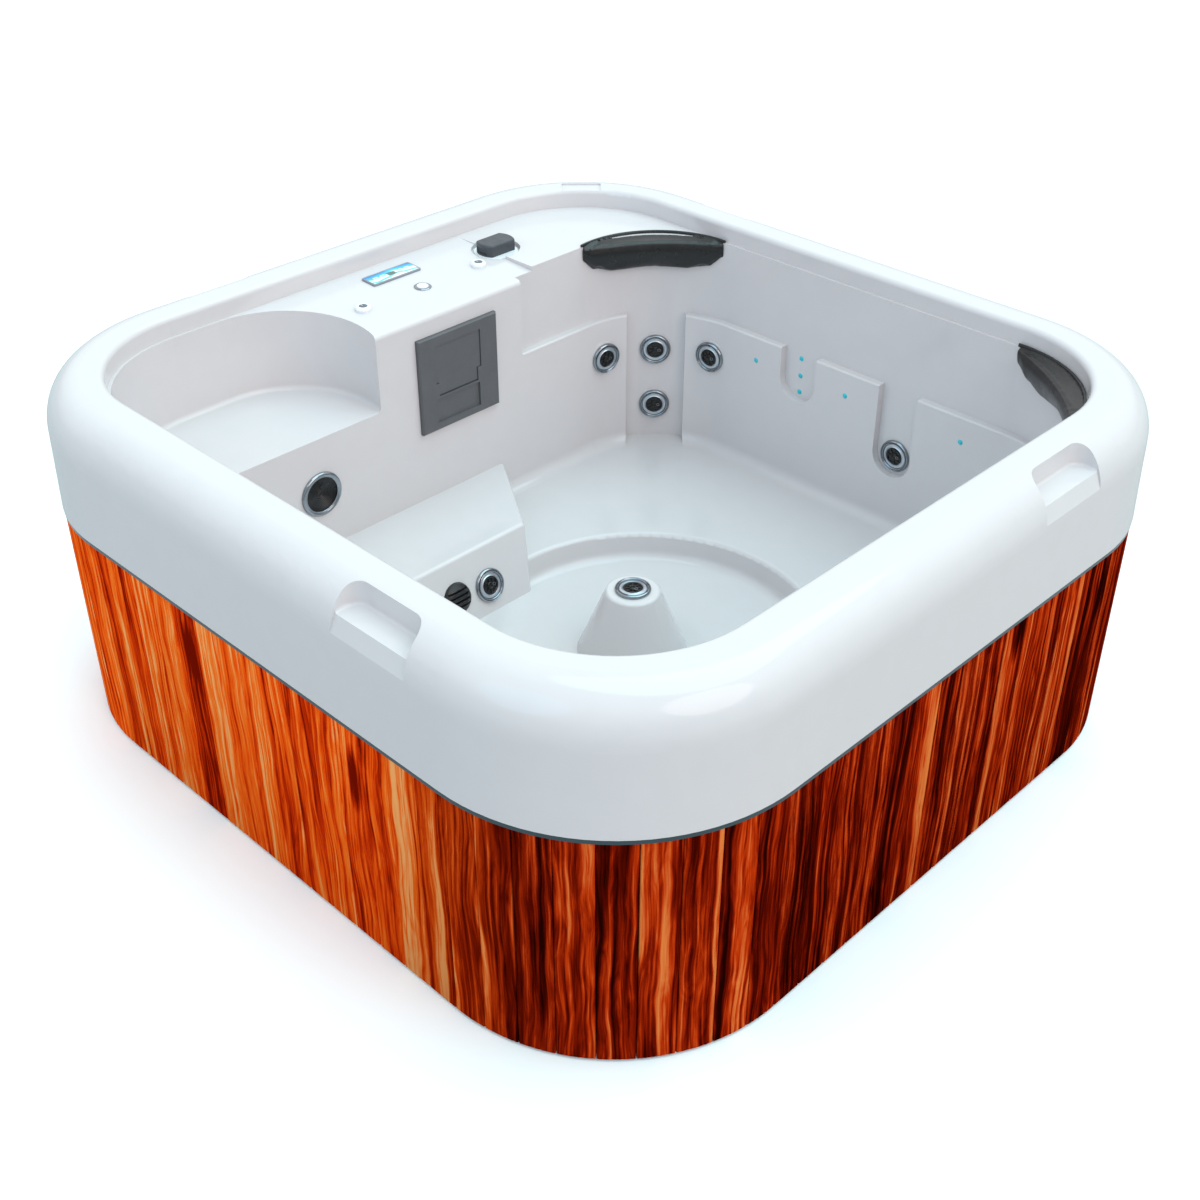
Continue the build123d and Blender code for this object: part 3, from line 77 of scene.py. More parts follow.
class Wiring:
    """Adds nodes to a tree, with their values and links in one call."""

    def __init__(self, tree: bpy.types.NodeTree) -> None:
        """Keeps the tree that the nodes go into."""
        self.tree = tree

    def add(self, kind: str, values: dict | None = None, **settings: object) -> bpy.types.Node:
        """Adds one node.

        Args:
            kind: the node's type.
            values: a number, vector or socket for each input, by name or index.
            settings: the node's own options.

        Returns:
            The new node.
        """
        node = self.tree.nodes.new(kind)
        for name, value in settings.items():
            setattr(node, name, value)
        for key, value in (values or {}).items():
            live = [socket for socket in node.inputs if socket.enabled and socket.name == key]
            socket = live[0] if live else node.inputs[key]
            if isinstance(value, Socket):
                self.tree.links.new(value, socket)
            else:
                socket.default_value = value
        return node

    def maths(self, operation: str, *values: object) -> Socket:
        """One sum on numbers or sockets, as a socket."""
        return self.add("ShaderNodeMath", dict(enumerate(values)), operation=operation).outputs[0]

    def ramp(self, level: Socket, stops: Sequence[tuple[float, Colour]]) -> Socket:
        """Colours laid along a level, each at its own position."""
        node = self.add("ShaderNodeValToRGB", {"Fac": level})
        elements = node.color_ramp.elements
        elements.remove(elements[1])
        elements[0].position, elements[0].color = stops[0]
        for position, colour in stops[1:]:
            elements.new(position).color = colour
        return node.outputs["Color"]

    def parts(self, vector: Socket) -> Sequence[Socket]:
        """X, Y and Z of a vector."""
        return self.add("ShaderNodeSeparateXYZ", {0: vector}).outputs


class Surface(Wiring):
    """A material in the making: the nodes that feed one Principled surface."""

    def __init__(self, name: str) -> None:
        """Starts an empty material of that name."""
        self.material = bpy.data.materials.new(name)
        self.material.use_nodes = True
        super().__init__(self.material.node_tree)
        self.tree.nodes.clear()
        self.place = self.add("ShaderNodeTexCoord").outputs["Object"]

    def noise(self, scale: float, detail: float, stretch: Sequence[float] = (1, 1, 1),
              place: Socket | None = None, bend: float = 0.0) -> Socket:
        """Cloudy pattern from 0 to 1.

        Args:
            scale: how fine it is.
            detail: how many finer layers it holds.
            stretch: further fineness along X, Y and Z.
            place: where it is read, or the piece's own place.
            bend: how far it is warped.

        Returns:
            The pattern's level.
        """
        turned = self.add("ShaderNodeMapping", {"Vector": place or self.place, "Scale": stretch})
        values = {"Vector": turned.outputs[0], "Scale": scale, "Detail": detail, "Distortion": bend}
        return self.add("ShaderNodeTexNoise", values).outputs["Fac"]

    def spread(self, level: Socket, low: float, high: float) -> Socket:
        """A cloudy level laid out between two values."""
        values = {"Value": level, "From Min": 0.3, "From Max": 0.7, "To Min": low, "To Max": high}
        return self.add("ShaderNodeMapRange", values).outputs[0]

    def close(self, values: dict, height: Socket, strength: float, distance: float = 0.0002) -> Material:
        """Ends the tree in a Principled surface.

        Args:
            values: the surface's inputs.
            height: the level that lifts the surface.
            strength: how much of that lift shows.
            distance: the lift in metres.

        Returns:
            The finished material.
        """
        shader = self.add("ShaderNodeBsdfPrincipled", values)
        lift = self.add("ShaderNodeBump", {"Height": height, "Strength": strength, "Distance": distance})
        self.tree.links.new(lift.outputs[0], shader.inputs["Normal"])
        self.add("ShaderNodeOutputMaterial", {"Surface": shader.outputs[0]})
        return self.material


@dataclass(frozen=True)
class Finish:
    """A named finish that builds its material once."""

    label: str
    roughness: float

    def material(self) -> Material:
        """The finish's material, built on first use."""
        return bpy.data.materials.get(self.label) or self.build(Surface(self.label))

    def build(self, surface: Surface) -> Material:
        """Fills the material's tree, in each finish's own way."""
        raise NotImplementedError(self.label)


@dataclass(frozen=True)
class Moulded(Finish):
    """Moulded, cast or plated surface with a faint mottle and a fine grain."""

    colour: Colour
    mottle: float = 0.05
    grain: float = 0.06
    grain_scale: float = 900.0
    coat: float = 0.0
    metal: float = 0.0

    def build(self, surface: Surface) -> Material:
        """Mottled colour, uneven gloss and a grain in the surface."""
        light, dark = shade(self.colour, 1 + self.mottle), shade(self.colour, 1 - self.mottle)
        tone = surface.ramp(surface.noise(18.0, 4.0), ((0.3, dark), (0.7, light)))
        rough = surface.spread(surface.noise(60.0, 5.0), self.roughness * 0.85, self.roughness * 1.2)
        values = {"Base Color": tone, "Roughness": rough, "Metallic": self.metal, "Coat Weight": self.coat}
        values["Coat Roughness"] = 0.06
        return surface.close(values, surface.noise(self.grain_scale, 2.0), self.grain)


@dataclass(frozen=True)
class Spun(Finish):
    """Turned metal with fine rings about its own axis."""

    colour: Colour
    ring_scale: float = 900.0

    def build(self, surface: Surface) -> Material:
        """Rings read from the piece's own map, where V runs along its section."""
        across = surface.add("ShaderNodeUVMap", uv_map="uv").outputs[0]
        rings = surface.noise(1.0, 2.0, (2.0, self.ring_scale, 1.0), across)
        tone = surface.ramp(rings, ((0.3, shade(self.colour, 0.9)), (0.7, shade(self.colour, 1.06))))
        values = {"Base Color": tone, "Metallic": 1.0}
        values["Roughness"] = surface.spread(rings, self.roughness * 0.8, self.roughness * 1.25)
        return surface.close(values, rings, 0.12)


class Grain(Enum):
    """Where a board's own coordinates come from."""

    OWN_MAP = "map and number of each board"
    LEFT_SIDE = "place on the left-hand side"


@dataclass(frozen=True)
class Streaks:
    """One layer of a board's figure."""

    stretch: tuple[float, float, float]
    detail: float
    bend: float
    weight: float


@dataclass(frozen=True)
class BoardWood(Finish):
    """Varnished hardwood boards: streaks, bands, curls, knots and fine pores."""

    grain: Grain = Grain.OWN_MAP
    board_pitch: float = 0.075
    board_shift: tuple[float, float, float] = (1.37, 0.71, 3.1)
    sway: float = 0.045
    layers: tuple[Streaks, ...] = (
        Streaks((120.0, 2.2, 1.0), 6.0, 0.3, 0.9),
        Streaks((30.0, 0.6, 1.0), 3.0, 0.5, 1.15),
        Streaks((60.0, 6.0, 1.0), 3.0, 2.0, 0.4),
        Streaks((520.0, 9.0, 1.0), 2.0, 0.0, 0.14),
    )
    knot_spacing: tuple[float, float, float] = (9.0, 2.6, 1.0)
    knot_size: float = 4.2
    knot_share: float = 0.62
    knot_weight: float = -0.55
    tone_weight: float = 0.26
    level_shift: float = -0.93
    stops: tuple[float, ...] = (0.2, 0.37, 0.5, 0.63, 0.8)
    fiery: tuple[Colour, ...] = (
        paint(118, 16, 2), paint(204, 46, 6), paint(250, 84, 15), paint(255, 118, 34), paint(255, 178, 108),
    )
    deep: tuple[Colour, ...] = (
        paint(32, 3, 1), paint(82, 9, 1), paint(136, 26, 4), paint(194, 56, 10), paint(222, 122, 60),
    )
    change_start: float = 0.28
    change_end: float = 0.78

    def board_place(self, surface: Surface) -> tuple[Socket, Socket]:
        """Number of the board, and a place on it that differs from board to board."""
        if self.grain is Grain.OWN_MAP:
            own = surface.parts(surface.add("ShaderNodeUVMap", uv_map="uv").outputs[0])
            along, up = own[0], own[1]
            number = surface.add("ShaderNodeAttribute", attribute_name="board").outputs["Fac"]
        else:
            own = surface.parts(surface.place)
            along, up = own[1], own[2]
            number = surface.maths("FLOOR", surface.maths("DIVIDE", along, self.board_pitch))
        shifted = {
            0: surface.maths("MULTIPLY_ADD", number, self.board_shift[0], along),
            1: surface.maths("MULTIPLY_ADD", number, self.board_shift[1], up),
            2: surface.maths("MULTIPLY", number, self.board_shift[2]),
        }
        return number, surface.add("ShaderNodeCombineXYZ", shifted).outputs[0]

    def knots(self, surface: Surface, place: Socket) -> Socket:
        """Nearness to a knot, from 0 to 1, where only some cells hold one."""
        spot = surface.add("ShaderNodeMapping", {"Vector": place, "Scale": self.knot_spacing}).outputs[0]
        cell = surface.add("ShaderNodeTexVoronoi", {"Vector": spot, "Scale": 1.0, "Randomness": 1.0})
        away = surface.maths("MULTIPLY", cell.outputs["Distance"], self.knot_size)
        near = surface.maths("MAXIMUM", surface.maths("SUBTRACT", 1.0, away), 0.0)
        pick = surface.parts(cell.outputs["Color"])[0]
        return surface.maths("MULTIPLY", near, surface.maths("GREATER_THAN", pick, self.knot_share))

    def build(self, surface: Surface) -> Material:
        """Layers of streaks into one level, and two rows of colours along it."""
        number, place = self.board_place(surface)
        warp = surface.noise(7.0, 2.0, (1.0, 0.45, 1.0), place)
        swayed = {0: surface.maths("MULTIPLY", warp, self.sway)}
        bent = surface.add("ShaderNodeCombineXYZ", swayed).outputs[0]
        place = surface.add("ShaderNodeVectorMath", {0: place, 1: bent}, operation="ADD").outputs[0]
        seed = surface.add("ShaderNodeTexWhiteNoise", {"W": number}, noise_dimensions="1D")
        level = surface.maths("MULTIPLY_ADD", seed.outputs["Value"], self.tone_weight, self.level_shift)
        figure = [surface.noise(1.0, layer.detail, layer.stretch, place, layer.bend) for layer in self.layers]
        for layer, pattern in zip(self.layers, figure):
            level = surface.maths("MULTIPLY_ADD", pattern, layer.weight, level)
        level = surface.maths("MULTIPLY_ADD", self.knots(surface, place), self.knot_weight, level)
        bright = surface.ramp(level, tuple(zip(self.stops, self.fiery)))
        dark = surface.ramp(level, tuple(zip(self.stops, self.deep)))
        reach = {"Value": surface.parts(surface.place)[0]}
        reach |= {"From Min": self.change_start, "From Max": self.change_end}
        turn = surface.add("ShaderNodeMapRange", reach, interpolation_type="SMOOTHSTEP").outputs[0]
        both = surface.add("ShaderNodeMix", data_type="RGBA")
        surface.tree.links.new(turn, both.inputs["Factor"])
        surface.tree.links.new(bright, both.inputs[6])
        surface.tree.links.new(dark, both.inputs[7])
        values = {"Base Color": both.outputs[2], "Specular IOR Level": 0.0}
        values["Roughness"] = surface.spread(figure[0], self.roughness * 0.8, self.roughness * 1.3)
        return surface.close(values, surface.maths("ADD", figure[0], figure[-1]), 0.25, 0.0004)


@dataclass(frozen=True)
class SawnWood(Finish):
    """Pale sawn softwood of the hidden frame."""

    colour: Colour

    def build(self, surface: Surface) -> Material:
        """Soft year rings along the uprights and rails."""
        rings = surface.noise(1.0, 4.0, (60.0, 60.0, 5.0), None, 0.8)
        dark, light = shade(self.colour, 0.66), shade(self.colour, 1.2)
        tone = surface.ramp(rings, ((0.3, dark), (0.55, self.colour), (0.8, light)))
        return surface.close({"Base Color": tone, "Roughness": self.roughness}, rings, 0.3, 0.0005)


@dataclass(frozen=True)
class PanelPrint(Finish):
    """Film on the control panel: flowing bands of blue, aqua and white."""

    centre: tuple[float, float, float] = (-0.787, 0.070, 0.79)
    swell_rate: float = 52.0
    swell_start: float = 0.9
    swell_height: float = 0.0055
    ripple_rate: float = 131.0
    ripple_height: float = 0.0016
    band_rate: float = 20.0
    bands: tuple[tuple[float, Colour], ...] = (
        (0.08, paint(10, 130, 190)),
        (0.26, paint(20, 178, 232)),
        (0.42, paint(60, 200, 240)),
        (0.46, paint(236, 252, 255)),
        (0.66, paint(246, 254, 255)),
        (0.7, paint(90, 222, 240)),
        (0.8, paint(40, 190, 226)),
        (0.84, paint(240, 253, 255)),
    )

    def build(self, surface: Surface) -> Material:
        """Bands that swell and narrow along the panel."""
        ends = {0: surface.place, 1: self.centre}
        moved = surface.add("ShaderNodeVectorMath", ends, operation="SUBTRACT").outputs[0]
        x, y = surface.parts(moved)[:2]
        swell = surface.maths("SINE", surface.maths("MULTIPLY_ADD", y, self.swell_rate, self.swell_start))
        ripple = surface.maths("SINE", surface.maths("MULTIPLY", y, self.ripple_rate))
        level = surface.maths("MULTIPLY_ADD", swell, self.swell_height, x)
        level = surface.maths("MULTIPLY_ADD", ripple, self.ripple_height, level)
        level = surface.maths("MULTIPLY_ADD", level, self.band_rate, 0.5)
        values = {"Base Color": surface.ramp(level, self.bands), "Roughness": self.roughness}
        values["Coat Weight"] = 0.5
        return surface.close(values, surface.noise(1200.0, 1.0), 0.03)


class Finishes:
    """Every finish of the tub, by the piece that wears it."""

    acrylic = Moulded(
        "acrylic_gloss", 0.08, paint(207, 203, 204), mottle=0.008, grain=0.008, grain_scale=420.0,
    )
    boards = BoardWood("board_varnish", 0.3)
    side_boards = BoardWood("board_varnish_left", 0.3, Grain.LEFT_SIDE)
    sawn = SawnWood("sawn_softwood", 0.75, paint(214, 180, 132))
    trim = Moulded(
        "trim_gloss", 0.16, paint(58, 76, 82), mottle=0.08, grain=0.03, grain_scale=500.0, coat=0.5,
        metal=0.65,
    )
    tray = Moulded("tray_black", 0.6, paint(38, 39, 41), mottle=0.1, grain=0.25, grain_scale=500.0)
    foam = Moulded("foam_block", 0.95, paint(236, 234, 222), mottle=0.06, grain=0.6, grain_scale=260.0)
    chrome = Moulded(
        "chrome_plate", 0.06, paint(150, 156, 162), mottle=0.03, grain=0.01, grain_scale=300.0, metal=1.0,
    )
    jet_face = Spun("jet_face_spun", 0.32, paint(196, 204, 212))
    nozzle = Moulded("nozzle_black", 0.2, paint(8, 9, 10), mottle=0.15, grain=0.03, grain_scale=700.0)
    white = Moulded(
        "moulded_white", 0.2, paint(232, 236, 240), mottle=0.02, grain=0.04, grain_scale=600.0, coat=0.3,
    )
    clear = Moulded(
        "button_cap", 0.08, paint(214, 222, 238), mottle=0.03, grain=0.02, grain_scale=500.0, coat=0.8,
    )
    grey = Moulded("moulded_dark_grey", 0.5, paint(88, 89, 92), mottle=0.05, grain=0.16, grain_scale=1300.0)
    knob = Moulded("knob_grey", 0.42, paint(62, 66, 71), mottle=0.06, grain=0.14, grain_scale=1300.0)
    black = Moulded("moulded_black", 0.4, paint(26, 27, 29), mottle=0.1, grain=0.15, grain_scale=900.0)
    disc = Moulded("cap_disc_grey", 0.35, paint(92, 98, 104), mottle=0.05, grain=0.05, grain_scale=900.0)
    panel_frame = Moulded(
        "panel_frame_grey", 0.32, paint(128, 130, 138), mottle=0.04, grain=0.08, grain_scale=1100.0,
    )
    panel_film = PanelPrint("panel_print", 0.18)
    screen = Moulded(
        "display_glass", 0.12, paint(88, 118, 106), mottle=0.06, grain=0.01, grain_scale=500.0, coat=0.8,
    )
    ink = Moulded("display_ink", 0.3, paint(28, 40, 40), mottle=0.05, grain=0.02, grain_scale=500.0)
    key = Moulded(
        "panel_key", 0.25, paint(214, 244, 250), mottle=0.03, grain=0.05, grain_scale=900.0, coat=0.3,
    )
    key_mark = Moulded("key_mark", 0.35, paint(36, 104, 150), mottle=0.05, grain=0.04, grain_scale=900.0)
    cyan = Moulded(
        "injector_cyan", 0.3, paint(24, 182, 196), mottle=0.08, grain=0.05, grain_scale=900.0, coat=0.3,
    )
    vinyl = Moulded("pillow_skin", 0.3, paint(14, 15, 16), mottle=0.12, grain=0.14, grain_scale=1500.0)
    lamp = Moulded("lamp_glass", 0.3, paint(3, 3, 4), mottle=0.2, grain=0.01, grain_scale=400.0)
    paper = Moulded("filter_paper", 0.9, paint(232, 234, 236), mottle=0.05, grain=0.5, grain_scale=700.0)
    motor = Moulded("motor_paint", 0.42, paint(50, 62, 76), mottle=0.08, grain=0.2, grain_scale=500.0)
    steel = Moulded(
        "drawn_steel", 0.3, paint(190, 192, 195), mottle=0.05, grain=0.08, grain_scale=800.0, metal=1.0,
    )
    pipe = Moulded("pipe_white", 0.35, paint(226, 228, 230), mottle=0.03, grain=0.05, grain_scale=500.0)


def as_mesh(form: bmesh.types.BMesh, name: str, place: Matrix | None = None, crease: float = 38.0) -> Mesh:
    """Closes a form into a mesh, smooth up to a crease angle in degrees, and puts it in place."""
    mesh = bpy.data.meshes.new(name)
    form.to_mesh(mesh)
    form.free()
    if place is not None:
        mesh.transform(place)
    mesh.polygons.foreach_set("use_smooth", [True] * len(mesh.polygons))
    mesh.set_sharp_from_angle(angle=math.radians(crease))
    return mesh


def lathe(outline: Outline, name: str, place: Matrix, count: int = 72) -> Mesh:
    """Closed form turned about the place's Z.

    Args:
        outline: closed row of radius and height in millimetres, with both ends on the axis or off it.
        name: the mesh's name.
        place: where the form goes.
        count: steps round the turn.

    Returns:
        The mesh, with a map whose V runs along the outline in metres.
    """
    form = bmesh.new()
    layer = form.loops.layers.uv.new("uv")
    rows = []
    for step in range(count):
        angle = math.tau * step / count
        ring = [(r * MM * math.cos(angle), r * MM * math.sin(angle), z * MM) for r, z in outline]
        rows.append([form.verts.new(point) for point in ring])
    size = len(outline)
    runs = [0.0]
    for i in range(size):
        (r0, z0), (r1, z1) = outline[i], outline[(i + 1) % size]
        runs.append(runs[-1] + math.hypot(r1 - r0, z1 - z0) * MM)
    for step in range(count):
        near, far = rows[step], rows[(step + 1) % count]
        for i in range(size):
            j = (i + 1) % size
            if outline[i][0] == 0 and outline[j][0] == 0:
                continue
            face = form.faces.new((near[i], far[i], far[j], near[j]))
            corners = ((step, runs[i]), (step + 1, runs[i]), (step + 1, runs[i + 1]), (step, runs[i + 1]))
            for loop, (turn, run) in zip(face.loops, corners):
                loop[layer].uv = (turn / count, run)
    bmesh.ops.remove_doubles(form, verts=form.verts, dist=1e-7)
    bmesh.ops.recalc_face_normals(form, faces=form.faces)
    return as_mesh(form, name, place)


def prism(corners: Outline, low: float, high: float, name: str, place: Matrix, ease: float = 0.0) -> Mesh:
    """Flat-topped form on a plan.

    Args:
        corners: the plan, in millimetres.
        low: height of its foot, in millimetres.
        high: height of its top, in millimetres.
        name: the mesh's name.
        place: where the form goes.
        ease: width of its eased edges, in millimetres.

    Returns:
        The mesh.
    """
    form = bmesh.new()
    base = [form.verts.new((x * MM, y * MM, low * MM)) for x, y in corners]
    lifted = bmesh.ops.extrude_face_region(form, geom=[form.faces.new(base)])["geom"]
    raised = [item for item in lifted if isinstance(item, bmesh.types.BMVert)]
    bmesh.ops.translate(form, verts=raised, vec=(0, 0, (high - low) * MM))
    bmesh.ops.recalc_face_normals(form, faces=form.faces)
    if ease > 0:
        bmesh.ops.bevel(form, geom=form.edges, offset=ease * MM, segments=2, affect="EDGES", profile=0.5)
    return as_mesh(form, name, place)


def loft(rings: Sequence[Sequence[Sequence[float]]], name: str, crease: float) -> Mesh:
    """Closed form through rows of points, smooth up to a crease angle in degrees."""
    form = bmesh.new()
    rows = [[form.verts.new(point) for point in ring] for ring in rings]
    size = len(rows[0])
    for near, far in zip(rows, rows[1:]):
        for i in range(size):
            j = (i + 1) % size
            form.faces.new((near[i], far[i], far[j], near[j]))
    form.faces.new(rows[0])
    form.faces.new(rows[-1])
    bmesh.ops.recalc_face_normals(form, faces=form.faces)
    return as_mesh(form, name, None, crease)


def joined(meshes: Sequence[Mesh], name: str) -> Mesh:
    """Several meshes as one."""
    form = bmesh.new()
    for mesh in meshes:
        form.from_mesh(mesh)
    return as_mesh(form, name)


def plain(piece: bpy.types.Object) -> Mesh:
    """What a piece shows with its modifiers, as a plain mesh, and the piece is taken away."""
    shown = piece.evaluated_get(bpy.context.evaluated_depsgraph_get())
    mesh = bpy.data.meshes.new_from_object(shown)
    bpy.data.objects.remove(piece)
    return mesh


def draft(name: str, mesh: Mesh) -> bpy.types.Object:
    """A working object in the scene, on its way to a plain mesh."""
    piece = bpy.data.objects.new(name, mesh)
    bpy.context.scene.collection.objects.link(piece)
    return piece


def show(name: str, mesh: Mesh, body: str, finish: Finish,
         replaces: Sequence[str] = ()) -> bpy.types.Object:
    """Adds a finished piece to the tub.

    Args:
        name: the piece's name.
        mesh: its mesh, in place.
        body: the body that it moves with.
        finish: what it is finished in.
        replaces: the CAD nodes that it stands for.

    Returns:
        The piece.
    """
    piece = draft(name, mesh)
    mesh.materials.clear()
    mesh.materials.append(finish.material())
    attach(piece, body)
    if replaces:
        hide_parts(*replaces)
    log.info("%s: %d faces on %s", name, len(mesh.polygons), body)
    return piece


class Copies:
    """Geometry Nodes tree that repeats a form, each copy stepped along and turned about Z."""

    label = "Copies"

    def __init__(self) -> None:
        """Builds the tree once."""
        self.tree = bpy.data.node_groups.get(self.label) or self.build()

    def build(self) -> bpy.types.NodeTree:
        """Count, first number, start, step, turn and material in; numbered copies out."""
        tree = bpy.data.node_groups.new(self.label, "GeometryNodeTree")
        face = tree.interface
        face.new_socket("Form", in_out="INPUT", socket_type="NodeSocketGeometry")
        for name, kind in (("Count", "Int"), ("First", "Int"), ("Start", "Vector"), ("Step", "Vector"),
                           ("Turn", "Float"), ("Finish", "Material")):
            face.new_socket(name, in_out="INPUT", socket_type="NodeSocket" + kind)
        face.new_socket("Copies", in_out="OUTPUT", socket_type="NodeSocketGeometry")
        wiring = Wiring(tree)
        given = wiring.add("NodeGroupInput").outputs
        line = {"Count": given["Count"], "Start Location": given["Start"], "Offset": given["Step"]}
        points = wiring.add("GeometryNodeMeshLine", line).outputs[0]
        index = wiring.add("GeometryNodeInputIndex").outputs[0]
        about = {2: wiring.maths("MULTIPLY", index, given["Turn"])}
        angle = wiring.add("ShaderNodeCombineXYZ", about).outputs[0]
        turned = wiring.add("FunctionNodeEulerToRotation", {0: angle}).outputs[0]
        spots = {"Points": points, "Instance": given["Form"], "Rotation": turned}
        copies = wiring.add("GeometryNodeInstanceOnPoints", spots).outputs[0]
        number = wiring.maths("ADD", index, given["First"])
        named = wiring.add("GeometryNodeStoreNamedAttribute", domain="INSTANCE", data_type="FLOAT")
        value = [socket for socket in named.inputs if socket.enabled and socket.name == "Value"][0]
        named.inputs["Name"].default_value = "board"
        tree.links.new(copies, named.inputs["Geometry"])
        tree.links.new(number, value)
        real = wiring.add("GeometryNodeRealizeInstances", {0: named.outputs[0]}).outputs[0]
        worn = {"Geometry": real, "Material": given["Finish"]}
        dressed = wiring.add("GeometryNodeSetMaterial", worn).outputs[0]
        wiring.add("NodeGroupOutput", {0: dressed})
        return tree

    def grow(self, form: Mesh, name: str, finish: Finish, count: int, first: int = 0,
             start: Sequence[float] = (0, 0, 0), step: Sequence[float] = (0, 0, 0),
             turn: float = 0.0) -> Mesh:
        """Repeats a form.

        Args:
            form: the form to repeat.
            name: the new mesh's name.
            finish: what the copies are finished in.
            count: how many there are.
            first: number of the first copy.
            start: place of the first copy, in metres.
            step: way from one copy to the next, in metres.
            turn: turn from one copy to the next, in radians.

        Returns:
            All copies as one plain mesh.
        """
        piece = draft(name, form)
        growth = piece.modifiers.new(self.label, "NODES")
        growth.node_group = self.tree
        given = {"Count": count, "First": first, "Start": start, "Step": step, "Turn": turn}
        given["Finish"] = finish.material()
        for item in self.tree.interface.items_tree:
            if item.in_out == "INPUT" and item.name in given:
                growth[item.identifier] = given[item.name]
        mesh = plain(piece)
        mesh.name = name
        return mesh


def wall_place(origin: Sequence[float], outward: Sequence[float]) -> Matrix:
    """Place on a wall: Z looks out of it and X lies level."""
    out = Vector(outward).normalized()
    level = Vector((-out.y, out.x, 0.0))
    level = Vector((1.0, 0.0, 0.0)) if level.length < 0.5 and abs(out.x) < 0.01 else level.normalized()
    up = out.cross(level)
    turned = Matrix((level, up, out)).transposed().to_4x4()
    return Matrix.Translation(Vector(origin)) @ turned


def joint_of(name: str) -> dict:
    """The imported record's joint of that name."""
    return next(joint for joint in frame["joints"] if joint["name"] == name)


def joint_place(name: str) -> Matrix:
    """Place at a joint's point, with Z along its axis."""
    joint = joint_of(name)
    return wall_place(joint["pos_m"], joint["axis"])


def middle(node: str) -> Vector:
    """Middle of a CAD node's box."""
    low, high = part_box(node)
    return (low + high) / 2


